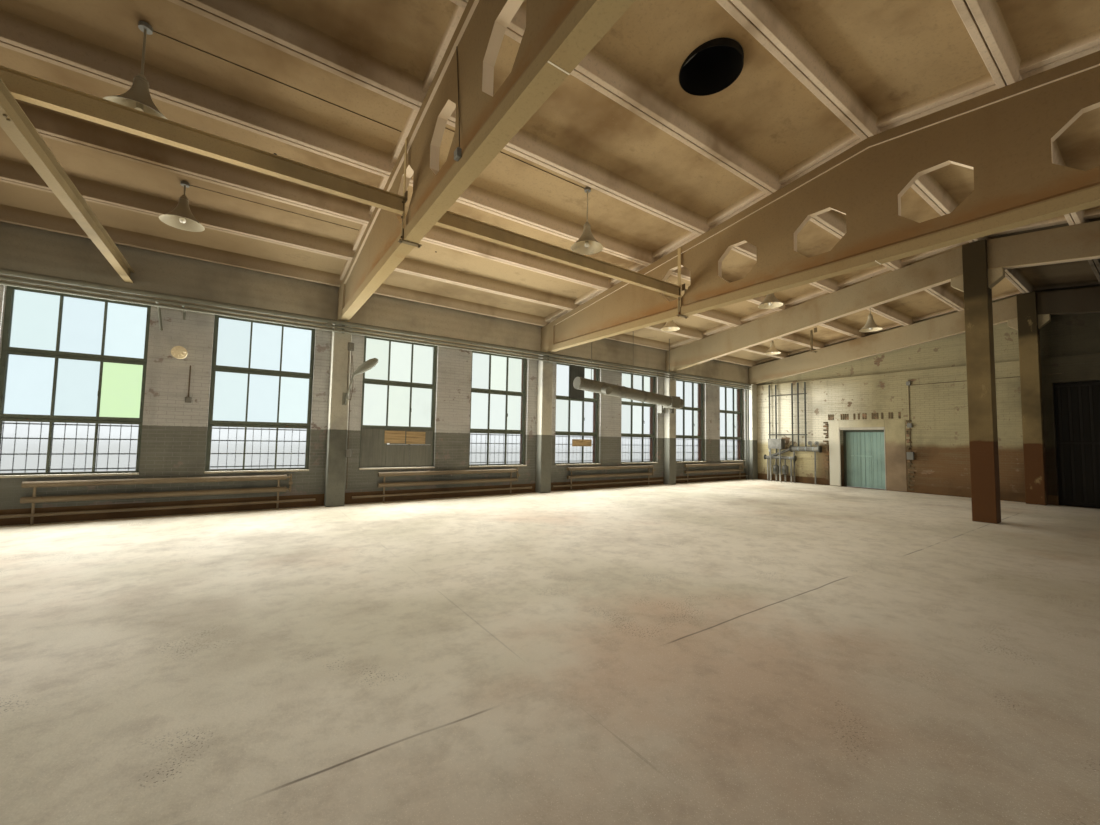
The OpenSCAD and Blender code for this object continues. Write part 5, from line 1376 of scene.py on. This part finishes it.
class HALL_OT_lamps(Operator):
    """Finishes the lamps and adds bulbs, collars and the guard of the oval lamp"""
    bl_idname = "hall.lamps"
    bl_label = "Lamps"

    def execute(self, context):
        c = context.scene.hall_colours
        f = Finish("lamp_enamel", 0.4)
        # painted light and shade: lamps past x -3 get brighter enamel than those nearer the end at negative
        # x, inside and out
        far = f.share(f.x, -3.5, -2.5)
        outside = f.mix(tint(c.enamel, 0.6), tint(c.enamel, 1.2), far)
        outside = wear(f, outside, tint(c.enamel, 0.4), (0.4, 0.7), 40.0)
        inside = f.mix(tint(c.enamel, 0.7), tint(c.enamel, 1.6), far)
        inside = f.mix(inside, tint(c.enamel, 0.5), f.cloud(0.5, 0.8, 8.0, part=0.4))
        under = f.share(f.facing[2], -0.02, -0.12)
        cover("pendant_lamps", f.done(f.mix(outside, inside, under)))
        cover("wall_lamps", wall_lamp_finish(c))
        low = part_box("pendant_lamps")[0].z
        bm = bmesh.new()
        places = [Matrix.Translation((x, y, low)) for x, y in LAMP_PLACES]
        bmesh.ops.create_uvsphere(bm, u_segments=20, v_segments=12, radius=0.045,
                                  matrix=Matrix.Translation((0, 0, 0.05)))
        add_bar(bm, (0, 0, 0.06), (0, 0, 0.13), 0.03, 16, 0.02)
        f = Finish("bulb_glass", 0.15)
        keep(repeat(bm, places), "lamp_bulbs", f.done(linear("#efe9dc")), smooth=True)
        bm = bmesh.new()
        add_bar(bm, (0, 0, 0.39), (0, 0, 0.47), 0.066, 18, 0.03)
        add_bar(bm, (0, 0, 0.28), (0, 0, 0.3), 0.072, 18)
        add_bar(bm, (0, 0, -0.003), (0, 0, 0.004), SHADE_R + 0.004, 40, SHADE_R - 0.004)
        bmesh.ops.delete(bm, geom=[face for face in bm.faces if len(face.verts) == 40], context="FACES_ONLY")
        paint = paint_finish("collar_enamel", tint(c.enamel, 0.7), c, 0.5, 0.4)
        keep(repeat(bm, places), "lamp_collars", paint)
        bm = bmesh.new()
        x, y, z = OVAL_LAMP
        for r, front in ((0.128, 0.0), (0.1, 0.05)):
            add_bar(bm, (x, y - front, z), (x, y - front - 0.02, z), r, 28)
        for a in range(0, 180, 45):
            turn = math.radians(a)
            dx, dz = 0.12 * math.cos(turn), 0.12 * math.sin(turn)
            add_run(bm, [(x - dx, y, z - dz), (x - dx * 0.6, y - 0.11, z - dz * 0.6),
                         (x + dx * 0.6, y - 0.11, z + dz * 0.6), (x + dx, y, z + dz)], 0.004, 6)
        keep(bm, "oval_lamp_guard", paint_finish("guard_paint", tint(c.enamel, 1.5), c, 0.5, 0.1))
        return {"FINISHED"}


def wall_lamp_finish(c):
    """White enamel on the oval lamp and grey-green paint on the lamp on its bracket."""
    f = Finish("wall_lamp_paint", 0.4)
    white = wear(f, tint(c.enamel, 1.8), tint(c.enamel, 1.2))
    grey = wear(f, tint(c.pipe, 1.1), tint(c.pipe, 0.6))
    return f.done(f.mix(white, grey, f.past(f.x, OVAL_LAMP[0] + 0.5)))


class HALL_OT_roof(Operator):
    """Finishes the roof and adds felt laps, edge strips, gutter ends and clamps"""
    bl_idname = "hall.roof"
    bl_label = "Roof"

    def execute(self, context):
        c, s = context.scene.hall_colours, context.scene.hall_sizes
        felt = felt_finish(c)
        for node in ("roof_covering_front", "roof_covering_rear"):
            cover(node, felt)
        sheet = sheet_finish("rainwater_sheet", c.zinc, 0.5, 0.6)
        cover("rainwater_pipes", sheet)
        cover("roof_vent", vent_finish(c))
        self.felt_laps(felt, s)
        self.edge_strips(sheet)
        self.gutter_parts(sheet)
        return {"FINISHED"}

    def felt_laps(self, felt, s):
        """Raised laps of the felt on both slopes, a strip over the ridge and some patches."""
        low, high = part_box("roof_covering_front")
        slope = math.atan(ROOF_SLOPE)
        bm = bmesh.new()

        def sheet(x0, x1, y0, y1, rise, side):
            """A flat piece lying on the slope between two distances from the ridge."""
            y = (y0 + y1) / 2
            size = ((x1 - x0), (y1 - y0) / math.cos(slope), 0.008)
            place = Matrix.Translation(((x0 + x1) / 2, side * y, high.z - ROOF_SLOPE * y + rise - 0.002))
            place = place @ Matrix.Rotation(-side * slope, 4, "X") @ Matrix.Diagonal((*size, 1.0))
            bmesh.ops.create_cube(bm, size=1.0, matrix=place)

        draw = random.Random(s.seed + 5)
        for side in (1, -1):
            x = low.x + 0.95
            while x < high.x - 0.2:
                wander = draw.uniform(-0.02, 0.02)
                sheet(x + wander, x + wander + 0.1, 0.02, high.y - 0.03, 0.0, side)
                x += 0.95
            for y in (3.2, 6.4):
                sheet(low.x + 0.05, high.x - 0.05, y, y + 0.1, 0.002, side)
            sheet(low.x + 0.01, high.x - 0.01, 0.0, 0.28, 0.004, side)
            for i in range(5):
                x, y = draw.uniform(-13, 13), draw.uniform(1.5, 8.5)
                sheet(x, x + draw.uniform(0.5, 1.4), y, y + draw.uniform(0.4, 0.9), 0.003, side)
        keep(bm, "felt_laps", felt)

    def edge_strips(self, sheet):
        """Folded metal strips along the verges and eaves."""
        low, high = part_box("roof_covering_front")
        slope = math.atan(ROOF_SLOPE)
        bm = bmesh.new()
        for side in (1, -1):
            for end in (1, -1):
                y = high.y / 2
                size = (0.07, high.y / math.cos(slope), 0.012)
                at = (end * (high.x - 0.036), side * y, high.z - ROOF_SLOPE * y + 0.004)
                place = Matrix.Translation(at) @ Matrix.Rotation(-side * slope, 4, "X")
                bmesh.ops.create_cube(bm, size=1.0, matrix=place @ Matrix.Diagonal((*size, 1.0)))
            edge = high.z - ROOF_SLOPE * high.y
            add_box(bm, (low.x + 0.005, side * (high.y - 0.001) - 0.003, edge - 0.05),
                    (high.x - 0.005, side * (high.y - 0.001) + 0.003, edge + 0.004))
        keep(bm, "roof_edge_strips", sheet)

    def gutter_parts(self, sheet):
        """Stop ends and joints of the gutters, and clamps and sockets of the downpipes."""
        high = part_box("rainwater_pipes")[1]
        y, r = high.y - GUTTER_R, GUTTER_R
        z = GUTTER_Z
        bm = bmesh.new()
        for side in (1, -1):
            for x in [-high.x + 0.002, high.x - 0.008] + [-12 + 4 * i for i in range(7)]:
                ring = abs(x) < 13
                start = len(bm.verts)
                wide, radius = (0.05, r) if ring else (0.006, r - 0.001)
                add_bar(bm, (x, side * y, z), (x + wide, side * y, z), radius, 20)
                bm.verts.ensure_lookup_table()
                part = bm.verts[start:]
                edges = list({e for v in part for e in v.link_edges})
                faces = list({f for v in part for f in v.link_faces})
                cut = bmesh.ops.bisect_plane(bm, geom=part + edges + faces, clear_outer=True,
                                             plane_co=(0, 0, z - (0.04 if ring else 0.0)), plane_no=(0, 0, 1))
                edges = [e for e in cut["geom_cut"] if isinstance(e, bmesh.types.BMEdge)]
                bmesh.ops.contextual_create(bm, geom=edges)
        pipe_y = WALL_OUT_Y + DOWNPIPE_OUT
        for side in (1, -1):
            for end in (1, -1):
                x = end * DOWNPIPE_X
                for level in (0.9, 2.6, 4.2):
                    add_bar(bm, (x, side * pipe_y, level), (x, side * pipe_y, level + 0.07), 0.061, 16)
                for level in (1.0, 2.5, 4.35):
                    add_bar(bm, (x, side * pipe_y, level + 0.2), (x, side * pipe_y, level + 0.225), 0.06, 16)
                    add_box(bm, (x - 0.012, side * WALL_OUT_Y - 0.001, level + 0.2),
                            (x + 0.012, side * pipe_y, level + 0.225))
        keep(bm, "rainwater_fittings", sheet)


def vent_finish(c):
    """Dull sheet outside; inside the tube, under the cap and below the roof it is near-black, painted shade
    for the dark opening.
    """
    f = Finish("vent_sheet", 0.5, 0.5)
    low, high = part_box("roof_vent")
    dx = f.number("SUBTRACT", f.x, (low.x + high.x) / 2)
    dy = f.number("SUBTRACT", f.y, VENT_Y)
    inside = f.number("LESS_THAN", f.distance(dx, dy), VENT_R - 0.004)
    below_cap = f.number("LESS_THAN", f.z, high.z - 0.235)
    under = f.number("LESS_THAN", f.facing[2], -0.5)
    below_roof = f.number("LESS_THAN", f.z, ceiling_z(VENT_Y) + PLATE)
    # painted shade: these parts are made near-black
    dark = f.most(f.times(inside, below_cap), f.most(under, below_roof))
    dust = f.cloud(0.46, 0.72, 3.0, 6.0, 0.65)
    base = f.mix(c.zinc, tint(c.zinc, 0.5), dust, 0.6)
    f.put(f.shader.inputs["Metallic"], f.number("SUBTRACT", 0.5, f.times(dark, 0.5)))
    return f.done(f.mix(base, (0.004, 0.003, 0.002), dark), f.plus(0.5, f.times(dark, 0.45)))


# Pose of the camera: where its eye stands and how it looks, from the photograph's straight lines
EYE = (-4.79542, -2.62597, 1.78423)
YAW, PITCH, ROLL = math.radians(34.5649), math.radians(3.3234), math.radians(1.0192)
FOCAL_PIXELS = 438.79
PICTURE_WIDTH, PICTURE_HEIGHT = 1100, 825
CENTRE_PIXEL = (549.98, 414.37)


class HALL_OT_stage(Operator):
    """Makes the camera, the plain floor, the sky and the lights"""
    bl_idname = "hall.stage"
    bl_label = "Stage"

    def execute(self, context):
        scene = context.scene
        c, s = scene.hall_colours, scene.hall_sizes
        scene.view_settings.view_transform = "Standard"
        self.camera(scene)
        self.floor(scene, c)
        self.sky(scene, s)
        self.lights(scene, s)
        return {"FINISHED"}

    def camera(self, scene):
        data = bpy.data.cameras.new("camera")
        data.sensor_width = 36.0
        data.lens = FOCAL_PIXELS / PICTURE_WIDTH * data.sensor_width
        data.shift_x = (PICTURE_WIDTH / 2 - CENTRE_PIXEL[0]) / PICTURE_WIDTH
        data.shift_y = (CENTRE_PIXEL[1] - PICTURE_HEIGHT / 2) / PICTURE_WIDTH
        data.clip_start, data.clip_end = 0.05, 400.0
        camera = bpy.data.objects.new("camera", data)
        scene.collection.objects.link(camera)
        ahead = Vector((math.sin(YAW) * math.cos(PITCH), math.cos(YAW) * math.cos(PITCH), math.sin(PITCH)))
        right = Vector((math.cos(YAW), -math.sin(YAW), 0.0))
        up = right.cross(ahead)
        side = right * math.cos(ROLL) + up * math.sin(ROLL)
        top = up * math.cos(ROLL) - right * math.sin(ROLL)
        turn = Matrix((side, top, -ahead)).transposed().to_4x4()
        camera.matrix_world = Matrix.Translation(EYE) @ turn
        scene.camera = camera

    def floor(self, scene, c):
        bm = bmesh.new()
        bmesh.ops.create_grid(bm, x_segments=1, y_segments=1, size=120.0,
                              matrix=Matrix.Translation((0, 0, -0.004)))
        mesh = bpy.data.meshes.new("stage_floor")
        bm.to_mesh(mesh)
        bm.free()
        f = Finish("stage_floor", 0.9)
        mesh.materials.append(f.done(tuple(c.stage)))
        floor = bpy.data.objects.new("stage_floor", mesh)
        scene.collection.objects.link(floor)

    def sky(self, scene, s):
        world = bpy.data.worlds.new("sky")
        world.use_nodes = True
        scene.world = world
        tree = world.node_tree
        seen = tree.nodes.new("ShaderNodeLightPath")
        most = seen.outputs["Is Camera Ray"]
        for name in ("Is Glossy Ray", "Is Transmission Ray"):
            join = tree.nodes.new("ShaderNodeMath")
            join.operation = "MAXIMUM"
            tree.links.new(most, join.inputs[0])
            tree.links.new(seen.outputs[name], join.inputs[1])
            most = join.outputs[0]
        strength = tree.nodes.new("ShaderNodeMapRange")
        strength.inputs["To Min"].default_value = s.sky
        strength.inputs["To Max"].default_value = 1.0
        tree.links.new(most, strength.inputs["Value"])
        ground = tree.nodes["Background"]
        ground.inputs["Color"].default_value = (1.0, 1.0, 1.0, 1.0)
        tree.links.new(strength.outputs[0], ground.inputs["Strength"])

    def lights(self, scene, s):
        low, high = SILL_Z + FRAME_BAR, HEAD_Z - FRAME_BAR

        def area(name, power, size, places, turn):
            """Lights of one kind, none of them seen itself."""
            data = bpy.data.lights.new(name, "AREA")
            data.shape = "RECTANGLE"
            data.size, data.size_y = size
            data.energy = power
            data.color = (0.97, 1.0, 0.98)
            for i, place in enumerate(places):
                light = bpy.data.objects.new(f"{name}_{i}", data)
                scene.collection.objects.link(light)
                light.location = place
                light.rotation_euler = turn
                light.visible_camera = False
                light.visible_glossy = False

        opening = (2 * (WINDOW_HALF - FRAME_BAR), high - low)
        y, z = WALL_Y + 0.04, (low + high) / 2
        front, rear = [(x, y, z) for x in WINDOW_X], [(x, -y, z) for x in WINDOW_X if x < BAY]
        area("front_window_light", s.window_light, opening, front, (-math.pi / 2, 0.0, 0.0))
        area("rear_window_light", s.rear_light, opening, rear, (math.pi / 2, 0.0, 0.0))
        area("dust_light", s.dust_light, (6.0, 5.0), [(-0.5, 2.0, BEAM_LOW.z - 0.1)], (0.0, 0.0, 0.0))
        data = bpy.data.lights.new("sun", "SUN")
        data.energy = s.sun
        data.angle = math.radians(12)
        sun = bpy.data.objects.new("sun", data)
        scene.collection.objects.link(sun)
        sun.rotation_euler = (math.radians(42), 0.0, math.radians(30))


class HALL_PT_finishes(Panel):
    """Lists the finishes and fine pieces of the hall"""
    bl_label = "Factory Hall"
    bl_idname = "HALL_PT_finishes"
    bl_space_type = "VIEW_3D"
    bl_region_type = "UI"
    bl_category = "Hall"

    def draw(self, context):
        for kind in OPERATORS:
            self.layout.operator(kind.bl_idname)
        for group in (context.scene.hall_sizes, context.scene.hall_colours):
            box = self.layout.box()
            for name in group.__annotations__:
                box.prop(group, name)


OPERATORS = (HALL_OT_concrete, HALL_OT_walls, HALL_OT_windows, HALL_OT_doors, HALL_OT_steelwork,
             HALL_OT_services, HALL_OT_lamps, HALL_OT_roof, HALL_OT_stage)
CLASSES = (HallColours, HallSizes, *OPERATORS, HALL_PT_finishes)


def register():
    for kind in CLASSES:
        bpy.utils.register_class(kind)
    bpy.types.Scene.hall_colours = PointerProperty(type=HallColours)
    bpy.types.Scene.hall_sizes = PointerProperty(type=HallSizes)


def unregister():
    del bpy.types.Scene.hall_sizes
    del bpy.types.Scene.hall_colours
    for kind in reversed(CLASSES):
        bpy.utils.unregister_class(kind)


def main():
    register()
    for kind in OPERATORS:
        group, name = kind.bl_idname.split(".")
        getattr(getattr(bpy.ops, group), name)()


if __name__ == "__main__":
    main()
